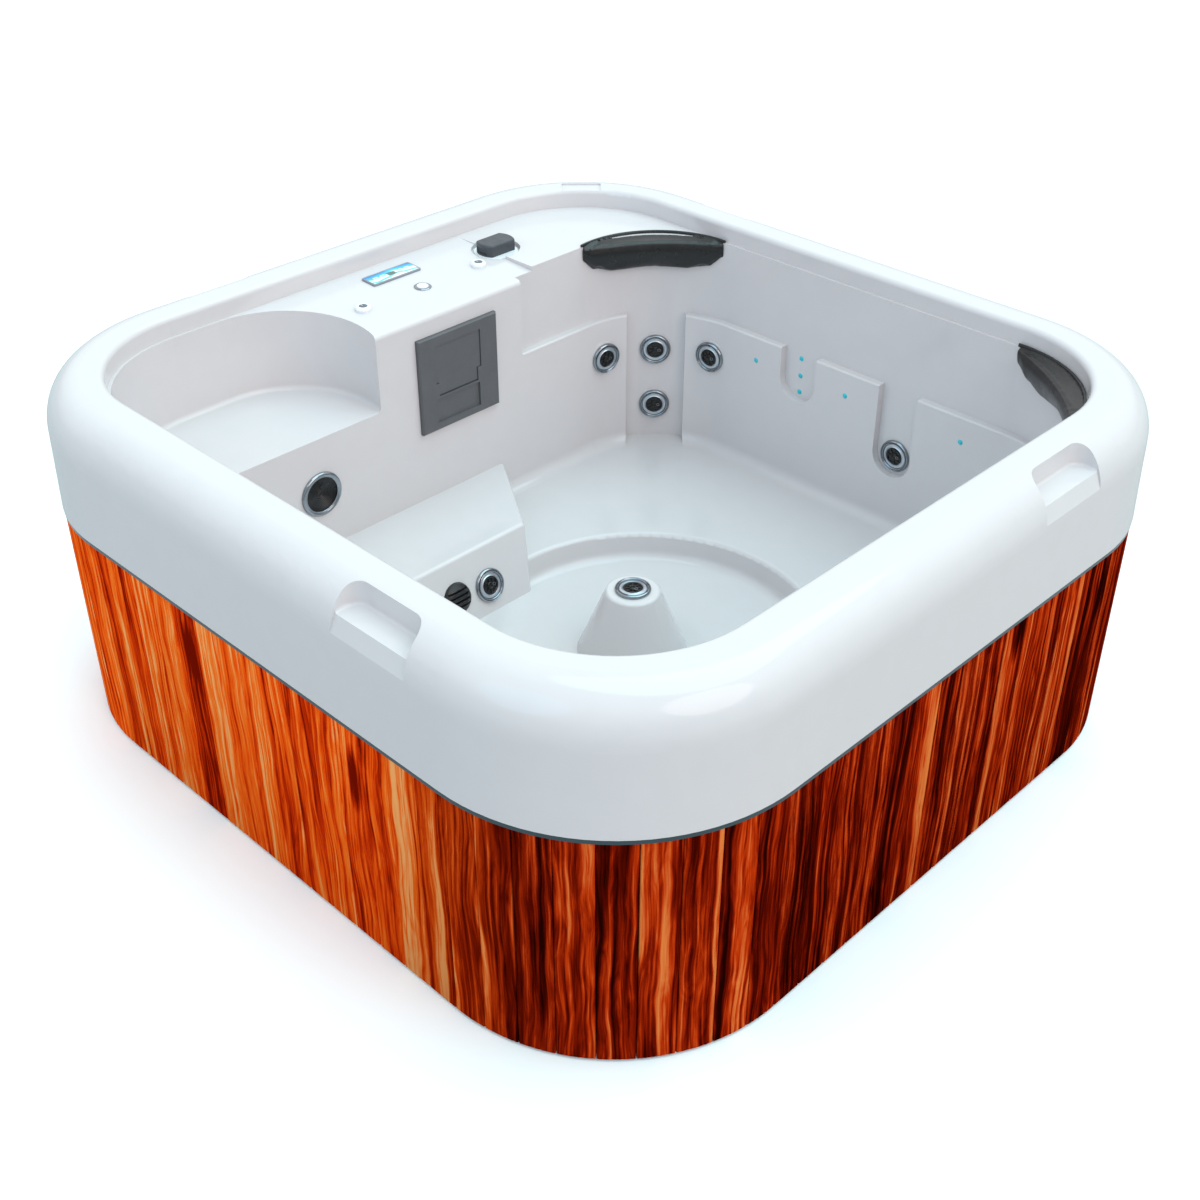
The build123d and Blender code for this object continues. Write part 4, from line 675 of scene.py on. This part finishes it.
@dataclass
class Skirt:
    """Upright boards round the tub, from the floor to the trim."""

    half_length: float = 1.003
    half_width: float = 0.959
    corner: float = 0.434
    inset: float = 0.003
    thickness: float = 0.018
    foot: float = 0.006
    top: float = 0.548
    gap: float = 0.0016
    rounding: float = 0.0028
    target: float = 0.075
    corner_count: int = 9
    numbers_per_side: int = 20
    foot_bevel: float = 0.0015
    crease: float = 50.0
    flat_steps: int = 5
    arc_steps: int = 3

    def section(self, width: float) -> list[tuple[float, float]]:
        """One board's plan as distance along and depth, from its middle, with rounded front edges."""
        half = (width - self.gap) / 2
        steps = self.flat_steps
        points = [(-half + 2 * half * i / steps, -self.thickness) for i in range(steps + 1)]
        points = points[::-1]
        for side in (-1, 1):
            arc = []
            for i in range(self.arc_steps + 1):
                angle = math.radians(90 * i / self.arc_steps)
                along = half - self.rounding * (1 - math.sin(angle))
                arc.append((side * along, -self.rounding * (1 - math.cos(angle))))
            if side < 0:
                points += arc[::-1]
                inner = half - self.rounding
                points += [(-inner + 2 * inner * i / steps, 0.0) for i in range(1, steps)]
            else:
                points += arc
        return points

    def board(self, width: float, number: int, put: Callable[[float, float], tuple[float, float]]) -> Mesh:
        """One board.

        Args:
            width: its share of the side's length.
            number: its number, for the mesh's name.
            put: turns distance along and depth into a plan point.

        Returns:
            The board as a mesh, mapped along and up.
        """
        form = bmesh.new()
        layer = form.loops.layers.uv.new("uv")
        section = self.section(width)
        rows = []
        heights = (self.foot, self.foot + self.foot_bevel, self.top)
        for z in heights:
            drawn = self.foot_bevel if z == self.foot else 0.0
            rows.append([form.verts.new((*put(along, depth - drawn), z)) for along, depth in section])
        size = len(section)
        for low, high, z0, z1 in zip(rows, rows[1:], heights, heights[1:]):
            for i in range(size):
                j = (i + 1) % size
                face = form.faces.new((low[i], low[j], high[j], high[i]))
                spots = ((section[i][0], z0), (section[j][0], z0), (section[j][0], z1), (section[i][0], z1))
                for loop, spot in zip(face.loops, spots):
                    loop[layer].uv = spot
        form.faces.new(rows[0])
        form.faces.new(rows[-1])
        bmesh.ops.recalc_face_normals(form, faces=form.faces)
        return as_mesh(form, f"board_{number}", None, self.crease)

    def straight(self, name: str, angle: float, distance: float, half_run: float, first: int) -> Mesh:
        """All boards of one straight side.

        Args:
            name: the mesh's name.
            angle: way out of that side, in radians from X.
            distance: way from the tub's middle to that side.
            half_run: half of the straight length.
            first: number of the first board.

        Returns:
            The boards as one mesh.
        """
        count = round(2 * half_run / self.target)
        pitch = 2 * half_run / count
        out = Vector((math.cos(angle), math.sin(angle)))
        side = Vector((-out.y, out.x))

        def put(along: float, depth: float) -> tuple[float, float]:
            """Plan point of the first board."""
            spot = out * (distance - self.inset + depth) + side * (-half_run + pitch / 2 + along)
            return (spot.x, spot.y)

        form = self.board(pitch, first, put)
        step = (side.x * pitch, side.y * pitch, 0.0)
        return Copies().grow(form, name, Finishes.boards, count, first, step=step)

    def corners(self, first: int) -> Mesh:
        """Curved boards of the four corners."""
        turn = math.radians(90 / self.corner_count)
        radius = self.corner - self.inset
        made = []
        signs = ((1, 1), (-1, 1), (-1, -1), (1, -1))
        for quarter, (sx, sy) in enumerate(signs):
            start = math.radians(90 * quarter) + turn / 2

            def put(along: float, depth: float) -> tuple[float, float]:
                """Plan point about the corner's own middle."""
                angle = start + along / radius
                return ((radius + depth) * math.cos(angle), (radius + depth) * math.sin(angle))

            form = self.board(radius * turn, quarter, put)
            hub = (sx * (self.half_length - self.corner), sy * (self.half_width - self.corner), 0.0)
            number = first + quarter * self.corner_count
            made.append(Copies().grow(form, f"corner_{quarter}", Finishes.boards, self.corner_count, number,
                                      hub, turn=turn))
        return joined(made, "corner_boards")

    def build(self) -> None:
        """Shows the boards of the front, right, back and corners."""
        run_x, run_y = self.half_length - self.corner, self.half_width - self.corner
        sides = (
            ("front", -90, self.half_width, run_x),
            ("right", 0, self.half_length, run_y),
            ("back", 90, self.half_width, run_x),
        )
        first = 0
        for name, angle, distance, run in sides:
            mesh = self.straight(f"boards_{name}", math.radians(angle), distance, run, first)
            show(f"boards_{name}", mesh, "root", Finishes.boards, [f"skirt_{name}"])
            first += self.numbers_per_side
        show("boards_corners", self.corners(first), "root", Finishes.boards, ["skirt_corners"])


@dataclass
class Jets:
    """Seven jets: chrome bezel, spun face, black nozzle with its vanes, and an off-centre spout."""

    count: int = 7
    vane_count: int = 8
    vane_low: float = 3.2
    vane_high: float = 5.4
    vane_ease: float = 0.4
    spout_offset: float = 10.5
    bezel_steps: int = 96
    spout_steps: int = 40

    bezel = (
        (33.1, 0.2), (33.1, 7.4), (33.6, 8.3), (34.6, 8.8), (35.6, 8.4), (36.1, 7.0), (36.6, 5.6),
        (37.3, 5.6), (37.9, 7.2), (39.0, 8.2), (40.4, 7.8), (41.8, 6.4), (42.7, 4.4), (43.0, 2.4),
        (42.8, 0.2),
    )
    face = (
        (0.0, -30.0), (26.4, -30.0), (26.4, 0.3), (32.4, 0.3), (32.4, 4.4), (31.9, 5.3), (30.8, 5.6),
        (27.0, 5.0), (26.2, 5.4), (25.6, 6.6), (24.8, 7.0), (24.0, 6.6), (23.6, 2.4), (0.0, 2.4),
    )
    nozzle = (
        (0.0, 2.5), (23.3, 2.5), (23.2, 4.6), (22.4, 5.9), (20.8, 6.4), (19.2, 5.6), (18.6, 3.4),
        (9.6, 3.4), (9.2, 5.8), (8.4, 6.8), (6.8, 7.2), (5.6, 6.4), (5.0, 4.6), (0.0, 4.4),
    )
    spout = ((3.0, 3.6), (4.4, 3.6), (4.4, 7.4), (4.1, 7.9), (3.3, 7.9), (3.0, 7.4))
    vane = ((8.8, -0.9), (18.8, -2.4), (19.4, 0.0), (18.8, 2.4), (8.8, 0.9))

    def build(self) -> None:
        """Shows every jet on its own body."""
        bezels = []
        for number in range(1, self.count + 1):
            place = joint_place(f"jet_turn_{number}")
            body = f"jet_{number}"
            bezels.append(lathe(self.bezel, f"bezel_{number}", place, self.bezel_steps))
            face = lathe(self.face, f"face_{number}", place)
            show(f"jet_face_{number}", face, body, Finishes.jet_face, [f"jet_insert_{number}"])
            nozzle = lathe(self.nozzle, f"nozzle_{number}", place)
            show(f"jet_nozzle_{number}", nozzle, body, Finishes.nozzle)
            vane = prism(self.vane, self.vane_low, self.vane_high, f"vane_{number}", Matrix.Identity(4),
                         self.vane_ease)
            vanes = Copies().grow(vane, f"vanes_{number}", Finishes.nozzle, self.vane_count,
                                  turn=math.tau / self.vane_count)
            vanes.transform(place)
            show(f"jet_vanes_{number}", vanes, body, Finishes.nozzle)
            aside = place @ Matrix.Translation((self.spout_offset * MM, 0, 0))
            spout = lathe(self.spout, f"spout_{number}", aside, self.spout_steps)
            show(f"jet_spout_{number}", spout, body, Finishes.chrome)
        show("jet_rings", joined(bezels, "jet_rings"), "root", Finishes.chrome, ["jet_bezels"])


@dataclass
class Light:
    """Underwater light: a rolled chrome ring round a ribbed dark glass."""

    ring = (
        (44.3, 0.3), (57.3, 0.3), (57.5, 2.6), (56.6, 5.2), (54.6, 7.2), (52.0, 8.0), (49.4, 7.6),
        (47.6, 6.2), (46.4, 5.6), (45.2, 5.6), (44.4, 4.8),
    )
    rib_pitch: float = 4.0
    rib_depth: float = 1.1
    glass_radius: float = 44.0
    glass_sink: float = 0.6
    glass_dish: float = 4.5
    glass_middle: float = -5.6
    lamp_seat: float = -0.3
    lamp_taper: float = -30.0
    lamp_back: float = -46.0
    lamp_radius: float = 46.8
    back_radius: float = 33.0
    stand_off: float = 0.0002
    steps: int = 96

    def lens(self) -> list[tuple[float, float]]:
        """The lamp's outline, with rings pressed into its glass."""
        points = [(0.0, self.lamp_back), (self.back_radius, self.lamp_back)]
        points += [(self.lamp_radius, self.lamp_taper), (self.lamp_radius, self.lamp_seat)]
        points.append((self.glass_radius, self.lamp_seat))
        ribs = int(self.glass_radius // self.rib_pitch) - 1
        for i in range(ribs):
            outer = self.glass_radius - 1.0 - i * self.rib_pitch
            depth = -self.glass_dish * (1 - (outer / self.glass_radius) ** 2) - self.glass_sink
            points += [(outer, depth), (outer - self.rib_pitch / 2, depth - self.rib_depth)]
        return points + [(0.0, self.glass_middle)]

    def build(self) -> None:
        """Shows the ring and the lamp on the wall below the controls."""
        low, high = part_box("light_ring")
        origin = (low.x - self.stand_off, (low.y + high.y) / 2, (low.z + high.z) / 2)
        place = wall_place(origin, (1, 0, 0))
        ring = lathe(self.ring, "ring", place, self.steps)
        show("light_rolled_ring", ring, "root", Finishes.chrome, ["light_ring"])
        glass = lathe(self.lens(), "glass", place, self.steps)
        show("light_glass", glass, "root", Finishes.lamp, ["light_lamp"])


@dataclass
class DeckControls:
    """What stands on the deck: panel face, display, key marks, air controls."""

    deck_height: float = 0.7925
    deck_back: float = -0.849
    bar_length: float = 6.0
    bar_height: float = 5.2
    bar_width: float = 0.9
    bar_end: float = 0.6
    bar_tip: float = 0.2
    bar_lift: float = 0.12
    window_low: float = 4.02
    window_high: float = 4.8
    mark_low: float = 6.02
    mark_high: float = 6.2
    pointer_low: float = 11.2
    pointer_high: float = 11.9
    disc_steps: int = 48

    cap = (
        (8.1, 3.2), (19.0, 3.2), (19.5, 4.4), (19.5, 6.2), (18.9, 8.6), (17.4, 10.7), (15.2, 12.1),
        (13.2, 12.5), (11.6, 12.3), (10.7, 11.5), (10.4, 10.6), (0.0, 10.6), (0.0, 9.2), (8.1, 9.2),
    )
    disc = ((0.0, 10.65), (10.3, 10.65), (10.3, 11.3), (9.6, 11.7), (0.0, 11.3))
    pointer = ((-0.7, 2.0), (0.7, 2.0), (0.7, 9.2), (-0.7, 9.2))
    arrow = ((-2.6, -1.6), (2.6, -1.6), (0.0, 2.4))
    drop = ((-2.0, -1.0), (-1.2, -2.2), (1.2, -2.2), (2.0, -1.0), (1.0, 1.0), (0.0, 2.8), (-1.0, 1.0))
    bar = ((-2.8, -0.7), (2.8, -0.7), (2.8, 0.7), (-2.8, 0.7))
    window = ((-12.7, -8.7), (12.7, -8.7), (12.7, 8.7), (-12.7, 8.7))
    lit = {"3": "abcdg", "8": "abcdefg"}
    figure_starts = {"3": -8.6, "8": 1.4}

    def normal(self) -> Vector:
        """Way out of the falling deck."""
        return -Vector(joint_of("pump_button_press")["axis"])

    def place(self, x: float, y: float) -> Matrix:
        """Place on the deck, with Z out of it and Y pointing away from the bather."""
        out = self.normal()
        z = self.deck_height - out.x / out.z * (x - self.deck_back)
        away = Vector((-out.z, 0.0, out.x))
        right = away.cross(out)
        turned = Matrix((right, away, out)).transposed().to_4x4()
        return Matrix.Translation((x, y, z)) @ turned

    def digit(self, figure: str, left: float, place: Matrix) -> list[Mesh]:
        """Bars of one seven-bar figure on the display.

        Args:
            figure: the figure to show.
            left: where it starts, in millimetres from the panel's middle.
            place: the panel's place.

        Returns:
            One mesh for each bar that is lit.
        """
        wide, tall, thin, half = self.bar_length, self.bar_height, self.bar_width, self.bar_width / 2
        bars = {
            "a": (0, 2 * tall, wide, thin), "b": (wide, tall, thin, tall), "c": (wide, 0, thin, tall),
            "d": (0, 0, wide, thin), "e": (0, 0, thin, tall), "f": (0, tall, thin, tall),
            "g": (0, tall, wide, thin),
        }
        made = []
        for name in self.lit[figure]:
            x, y, length, height = bars[name]
            x, y = x + left, y - tall
            if length > height:
                near, far = x + self.bar_end, x + length - self.bar_end
                corners = ((near, y - half), (far, y - half), (x + length - self.bar_tip, y), (far, y + half),
                           (near, y + half), (x + self.bar_tip, y))
            else:
                near, far = y + self.bar_end, y + height - self.bar_end
                corners = ((x - half, near), (x, y + self.bar_tip), (x + half, near), (x + half, far),
                           (x, y + height - self.bar_tip), (x - half, far))
            low = self.window_high
            made.append(prism(corners, low, low + self.bar_lift, f"bar_{name}", place))
        return made

    def display(self) -> None:
        """Shows the display's window and its figures."""
        spot = middle("control_bezel")
        panel = self.place(spot.x, spot.y)
        window = prism(self.window, self.window_low, self.window_high, "window", panel, 0.25)
        show("display_window", window, "root", Finishes.screen)
        bars = []
        for figure, left in self.figure_starts.items():
            bars += self.digit(figure, left, panel)
        show("display_figures", joined(bars, "figures"), "root", Finishes.ink)

    def key_marks(self) -> None:
        """Shows the mark on each key."""
        marks = (self.arrow, tuple((x, -y) for x, y in self.arrow), self.drop, self.bar)
        for number, mark in enumerate(marks, 1):
            key = middle(f"control_key_{number}")
            place = self.place(key.x, key.y)
            mesh = prism(mark, self.mark_low, self.mark_high, f"mark_{number}", place, 0.05)
            show(f"key_mark_{number}", mesh, f"key_{number}", Finishes.key_mark)

    def air_caps(self) -> None:
        """Shows the dome, disc and pointer of each air control."""
        for number in (1, 2):
            place = joint_place(f"air_valve_turn_{number}")
            body = f"air_cap_{number}"
            dome = lathe(self.cap, f"dome_{number}", place)
            show(f"air_cap_dome_{number}", dome, body, Finishes.white,
                 [f"air_valve_cap_{number}"])
            disc = lathe(self.disc, f"disc_{number}", place, self.disc_steps)
            show(f"air_cap_disc_{number}", disc, body, Finishes.disc)
            mark = prism(self.pointer, self.pointer_low, self.pointer_high, f"pointer_{number}", place, 0.15)
            show(f"air_cap_pointer_{number}", mark, body, Finishes.white)

    def build(self) -> None:
        """Shows the display, the marks on the keys and the caps of the air controls."""
        self.display()
        self.key_marks()
        self.air_caps()


@dataclass
class Filter:
    """Pleated filter in the canister behind the weir door."""

    pleat_count: int = 54
    foot: float = 304.0
    height: float = 220.0
    inner_radius: float = 24.0
    core_radius: float = 27.5
    cap_radius: float = 58.0
    cap_height: float = 12.0
    cap_ease: float = 1.0
    core_inset: float = 10.0
    pleat = ((26.0, -0.7), (53.6, -1.5), (54.6, 0.0), (53.6, 1.5), (26.0, 0.7))

    def build(self) -> None:
        """Shows the pleats and the two end caps."""
        spot = middle("filter_cartridge")
        place = Matrix.Translation((spot.x, spot.y, 0.0))
        top = self.foot + self.height
        inset = self.cap_height - self.cap_ease
        pleat = prism(self.pleat, self.foot + inset, top - inset, "pleat", Matrix.Identity(4))
        pleats = Copies().grow(pleat, "pleats", Finishes.paper, self.pleat_count,
                               turn=math.tau / self.pleat_count)
        pleats.transform(place)
        show("filter_pleats", pleats, "root", Finishes.paper, ["filter_cartridge"])
        ends = []
        eased = self.cap_radius - self.cap_ease
        for low in (self.foot, top - self.cap_height):
            high = low + self.cap_height
            ring = ((self.inner_radius, low), (eased, low), (self.cap_radius, low + self.cap_ease),
                    (self.cap_radius, low + inset), (eased, high), (self.inner_radius, high))
            ends.append(lathe(ring, "end", place))
        low, high = self.foot + self.core_inset, top - self.core_inset
        core = ((self.inner_radius, low), (self.core_radius, low), (self.core_radius, high),
                (self.inner_radius, high))
        ends.append(lathe(core, "core", place))
        show("filter_ends", joined(ends, "ends"), "root", Finishes.white)


@dataclass
class Pillow:
    """One head pillow: a simulated foam cushion and the thin lip along its back."""

    node: str
    centre: tuple[float, float]
    radius: float
    angle: float
    lip: float
    chord: float = 376.0
    thickness: float = 50.0
    end_thickness: float = 9.0
    deck: float = 792.5
    gap: float = 0.9
    lip_height: float = 7.6
    lip_width: float = 4.4
    drop: float = 3.0
    bulge: float = 6.5
    scoop: float = 4.6
    lip_end: float = 4.0
    voxel: float = 0.0034
    pressure: float = 4.0
    cap: float = 0.0022
    steps: int = 20
    quality: int = 4
    smoothing: float = 0.5
    smooth_rounds: int = 6
    fill: float = 0.95
    foot_tuck: float = 0.25
    front_power: float = 1.6
    back_steps: int = 10
    top_steps: int = 8
    front_steps: int = 12
    skin_count: int = 56
    skin_crease: float = 38.0
    bead_count: int = 64
    bead_crease: float = 70.0

    depths = (
        (-1.0, 38.0), (-0.82, 72.0), (-0.5, 88.0), (0.0, 85.0), (0.5, 88.0), (0.82, 72.0), (1.0, 38.0),
    )

    @property
    def half_angle(self) -> float:
        """Half of the angle that the pillow spans, in radians."""
        return math.asin(self.chord / 2 / self.radius)

    def depth(self, station: float) -> float:
        """Depth of the foot below the deck, on a smooth line through the given depths."""
        for (s0, d0), (s1, d1) in zip(self.depths, self.depths[1:]):
            if station <= s1 + 1e-9:
                share = (station - s0) / (s1 - s0)
                eased = share * share * (3 - 2 * share)
                eased = share if abs(s0) > 0.7 or abs(s1) > 0.9 else eased
                return d0 + (d1 - d0) * eased
        return self.depths[-1][1]

    def front(self, turn: float) -> float:
        """Distance of the pillow's front from the corner's middle."""
        half = self.chord / 2
        sagitta = self.radius - math.sqrt(self.radius**2 - half**2)
        rise = sagitta - self.thickness + self.end_thickness
        bend = (half**2 + rise**2) / (2 * rise)
        offset = self.radius - self.thickness - bend
        return offset * math.cos(turn) + math.sqrt(bend**2 - (offset * math.sin(turn)) ** 2)

    def edge(self, station: float) -> float:
        """Radius of the back edge, which bows out at the middle."""
        return self.radius + self.lip_end + self.lip * (1 - station**2)

    def section(self, station: float) -> list[tuple[float, float]]:
        """Closed section as radius and height, in millimetres."""
        back = self.radius - self.gap
        front = self.front(station * self.half_angle)
        thick = self.radius - front
        edge = self.edge(station) - self.lip_width / 2
        top = self.deck + self.lip_height - 1.0
        low = self.deck - self.depth(station)
        shoulder = self.deck - self.drop
        rise = self.deck + self.gap - low
        points = [(back, low + rise * i / self.back_steps) for i in range(self.back_steps + 1)]
        points += [(edge, self.deck + self.gap), (edge, top)]
        for i in range(1, self.top_steps + 1):
            share = i / self.top_steps
            sag = self.scoop * 4 * share * (1 - share)
            points.append((edge + (front - edge) * share, top + (shoulder - top) * share - sag))
        foot = back - self.foot_tuck * thick
        for i in range(1, self.front_steps + 1):
            share = i / self.front_steps
            swell = self.bulge * thick / self.thickness * 4 * share * (1 - share)
            radius = front + (foot - front) * share**self.front_power - swell
            points.append((radius, shoulder + (low - shoulder) * share))
        return points

    def bead_section(self, station: float) -> list[tuple[float, float]]:
        """Section of the thin lip along the back, with eased edges."""
        outer = self.edge(station) - 0.3
        inner = outer - self.lip_width - 2.0
        low, high = self.deck + 0.4, self.deck + self.lip_height
        return [(inner, low), (outer, low), (outer + 0.2, low + 3), (outer - 0.6, high - 0.8),
                (outer - 2.0, high), (inner + 1.4, high - 0.3), (inner, high - 1.8)]

    def swept(self, section: Callable[[float], Outline], count: int, name: str, crease: float) -> Mesh:
        """Form through sections along the pillow's bend.

        Args:
            section: radius and height at a station from -1 to 1.
            count: steps from end to end.
            name: the mesh's name.
            crease: crease angle in degrees.

        Returns:
            The closed form.
        """
        rings = []
        for i in range(count + 1):
            station = -1 + 2 * i / count
            angle = math.radians(self.angle) + station * self.half_angle
            ring = []
            for radius, z in section(station):
                x = self.centre[0] + radius * math.cos(angle)
                y = self.centre[1] + radius * math.sin(angle)
                ring.append((x * MM, y * MM, z * MM))
            rings.append(ring)
        return loft(rings, name, crease)

    def stuffed(self, mesh: Mesh) -> Mesh:
        """The cushion after its foam has pushed the skin out, by no more than the cap."""
        piece = draft(self.node + "_draft", mesh)
        remesh = piece.modifiers.new("Remesh", "REMESH")
        remesh.mode = "VOXEL"
        remesh.voxel_size = self.voxel
        mesh = plain(piece)
        rest = [vertex.co.copy() for vertex in mesh.vertices]
        mesh = self.simulated(mesh)
        for vertex, start in zip(mesh.vertices, rest):
            way = vertex.co - start
            if way.length > self.cap:
                vertex.co = start + way.normalized() * self.cap
        piece = draft(self.node + "_smooth", mesh)
        smooth = piece.modifiers.new("Smooth", "SMOOTH")
        smooth.factor = self.smoothing
        smooth.iterations = self.smooth_rounds
        finer = piece.modifiers.new("Finer", "SUBSURF")
        finer.levels = 1
        finer.render_levels = 1
        mesh = plain(piece)
        mesh.polygons.foreach_set("use_smooth", [True] * len(mesh.polygons))
        return mesh

    def simulated(self, mesh: Mesh) -> Mesh:
        """The skin after a run of cloth simulation under pressure."""
        piece = draft(self.node + "_cloth", mesh)
        cloth = piece.modifiers.new("Cloth", "CLOTH")
        cloth.settings.use_pressure = True
        cloth.settings.uniform_pressure_force = self.pressure
        cloth.settings.effector_weights.gravity = 0.0
        cloth.settings.quality = self.quality
        cloth.point_cache.frame_start = 1
        cloth.point_cache.frame_end = self.steps
        for step in range(1, self.steps + 1):
            bpy.context.scene.frame_set(step)
        mesh = plain(piece)
        bpy.context.scene.frame_set(1)
        return mesh

    def build(self) -> None:
        """Shows the cushion and its lip."""
        skin = self.swept(self.section, self.skin_count, self.node + "_skin", self.skin_crease)
        name = self.node + "_cushion"
        cushion = show(name, self.stuffed(skin), "root", Finishes.vinyl, [self.node])
        bead = self.swept(self.bead_section, self.bead_count, self.node + "_bead", self.bead_crease)
        show(self.node + "_lip", bead, "root", Finishes.vinyl)


@dataclass
class CarriedOver:
    """CAD nodes whose shape is right, and the finish that each wears."""

    def build(self) -> None:
        """Puts each finish on its nodes."""
        worn = {
            Finishes.acrylic: ["shell"],
            Finishes.side_boards: ["skirt_left", "service_panel"],
            Finishes.sawn: ["girts", "studs", "top_rails", "service_panel_backing"],
            Finishes.trim: ["skirt_trim"],
            Finishes.tray: ["base_tray"],
            Finishes.foam: ["foam_supports"],
            Finishes.white: ["air_valve_bodies", "diverter_body", "filter_housing"],
            Finishes.clear: ["pump_button"],
            Finishes.grey: ["skimmer_plate", "skimmer_door"],
            Finishes.knob: ["diverter_handle"],
            Finishes.black: [
                "suction_cover", "jet_bodies", "jet_nuts", "pump_wet_end", "cable_gland", "drain_valve",
            ],
            Finishes.panel_frame: ["control_bezel", "control_box", "air_blower"],
            Finishes.chrome: ["pump_button_bezel"],
            Finishes.panel_film: ["control_overlay"],
            Finishes.key: [f"control_key_{i}" for i in range(1, 5)],
            Finishes.cyan: ["air_injectors"],
            Finishes.motor: ["pump_motor"],
            Finishes.steel: ["heater_tube", "service_panel_screws"],
            Finishes.pipe: ["pipework"],
        }
        for finish, nodes in worn.items():
            for name in nodes:
                node = frame["nodes"][name]
                node.data.materials.clear()
                node.data.materials.append(finish.material())
                log.info("%s: %s", name, finish.label)


@dataclass
class Studio:
    """Pale floor, soft lamps and the camera at the photograph's angle."""

    eye: tuple[float, float, float] = (2.2089, -2.2307, 2.3677)
    look: tuple[float, float, float] = (-0.578, 0.588, -0.566)
    lens: float = 47.5
    floor_size: float = 60.0
    dome: Colour = (0.97, 0.99, 1.0, 1.0)
    dome_strength: float = 1.25
    dome_levels: tuple[tuple[float, float], ...] = ((0.0, 0.42), (0.25, 0.8), (0.6, 1.0), (1.0, 0.6))
    floor_lit: float = 0.42
    floor_seen: float = 0.97
    floor_red: float = 0.95

    def sky(self) -> None:
        """White behind the tub, and a soft grey dome that lights it."""
        world = bpy.data.worlds.new("studio")
        bpy.context.scene.world = world
        world.use_nodes = True
        wiring = Wiring(world.node_tree)
        world.node_tree.nodes.clear()
        ray = wiring.add("ShaderNodeLightPath").outputs
        up = wiring.parts(wiring.add("ShaderNodeTexCoord").outputs["Generated"])[2]
        levels = wiring.ramp(up, [(height, shade(self.dome, level)) for height, level in self.dome_levels])
        soft = wiring.add("ShaderNodeBackground", {"Color": levels, "Strength": self.dome_strength})
        clear = wiring.add("ShaderNodeBackground", {"Color": (1.0, 1.0, 1.0, 1.0), "Strength": 1.0})
        both = {0: ray["Is Camera Ray"], 1: soft.outputs[0], 2: clear.outputs[0]}
        wiring.add("ShaderNodeOutputWorld", {0: wiring.add("ShaderNodeMixShader", both).outputs[0]})

    def floor(self) -> None:
        """Large pale floor that shows white and keeps the tub's shadow."""
        form = bmesh.new()
        bmesh.ops.create_grid(form, x_segments=1, y_segments=1, size=self.floor_size / 2)
        piece = draft("floor", as_mesh(form, "floor"))
        surface = Surface("floor_white")
        ray = surface.add("ShaderNodeLightPath").outputs["Is Camera Ray"]
        values = {"Value": ray, "To Min": self.floor_lit, "To Max": self.floor_seen}
        level = surface.add("ShaderNodeMapRange", values).outputs[0]
        red = surface.maths("MULTIPLY", level, self.floor_red)
        colour = surface.add("ShaderNodeCombineColor", {0: red, 1: level, 2: level}).outputs[0]
        matt = surface.add("ShaderNodeBsdfDiffuse", {"Color": colour})
        surface.add("ShaderNodeOutputMaterial", {"Surface": matt.outputs[0]})
        piece.data.materials.append(surface.material)

    def lamp(self, name: str, strength: float, colour: Sequence[float], azimuth: float, elevation: float,
             spread: float) -> None:
        """One soft lamp.

        Args:
            name: the lamp's name.
            strength: its strength.
            colour: its linear colour.
            azimuth: where it stands round the tub, in degrees from X.
            elevation: how high it stands, in degrees.
            spread: how soft it is, in degrees.
        """
        light = bpy.data.lights.new(name, "SUN")
        light.energy = strength
        light.color = colour
        light.angle = math.radians(spread)
        piece = bpy.data.objects.new(name, light)
        bpy.context.scene.collection.objects.link(piece)
        a, e = math.radians(azimuth), math.radians(elevation)
        source = Vector((math.cos(a) * math.cos(e), math.sin(a) * math.cos(e), math.sin(e)))
        piece.rotation_euler = source.to_track_quat("Z", "Y").to_euler()

    def camera(self) -> None:
        """Camera at the photograph's place."""
        data = bpy.data.cameras.new("camera")
        data.lens = self.lens
        data.clip_end = 100.0
        piece = bpy.data.objects.new("camera", data)
        bpy.context.scene.collection.objects.link(piece)
        piece.location = self.eye
        piece.rotation_euler = Vector(self.look).to_track_quat("-Z", "Y").to_euler()
        bpy.context.scene.camera = piece

    def build(self) -> None:
        """Sets up the studio."""
        self.camera()
        self.sky()
        self.floor()
        self.lamp("lamp_top", 1.75, (0.56, 0.94, 1.0), 60, 72, 60)
        self.lamp("lamp_right", 0.75, (1.0, 0.84, 0.82), 0, 30, 40)
        self.lamp("lamp_front", 0.4, (0.1, 0.6, 1.0), -90, 30, 40)
        bpy.context.scene.view_settings.view_transform = "Standard"


def main() -> None:
    """Builds the studio and dresses the tub, piece by piece."""
    logging.basicConfig(level=logging.INFO)
    Studio().build()
    CarriedOver().build()
    Skirt().build()
    Jets().build()
    Light().build()
    DeckControls().build()
    Filter().build()
    Pillow("pillow_far", (-298.0, 540.0), 272.0, 139.0, 12.0).build()
    Pillow("pillow_right", (569.0, 525.0), 287.0, 50.0, 1.0).build()


if __name__ == "__main__":
    main()
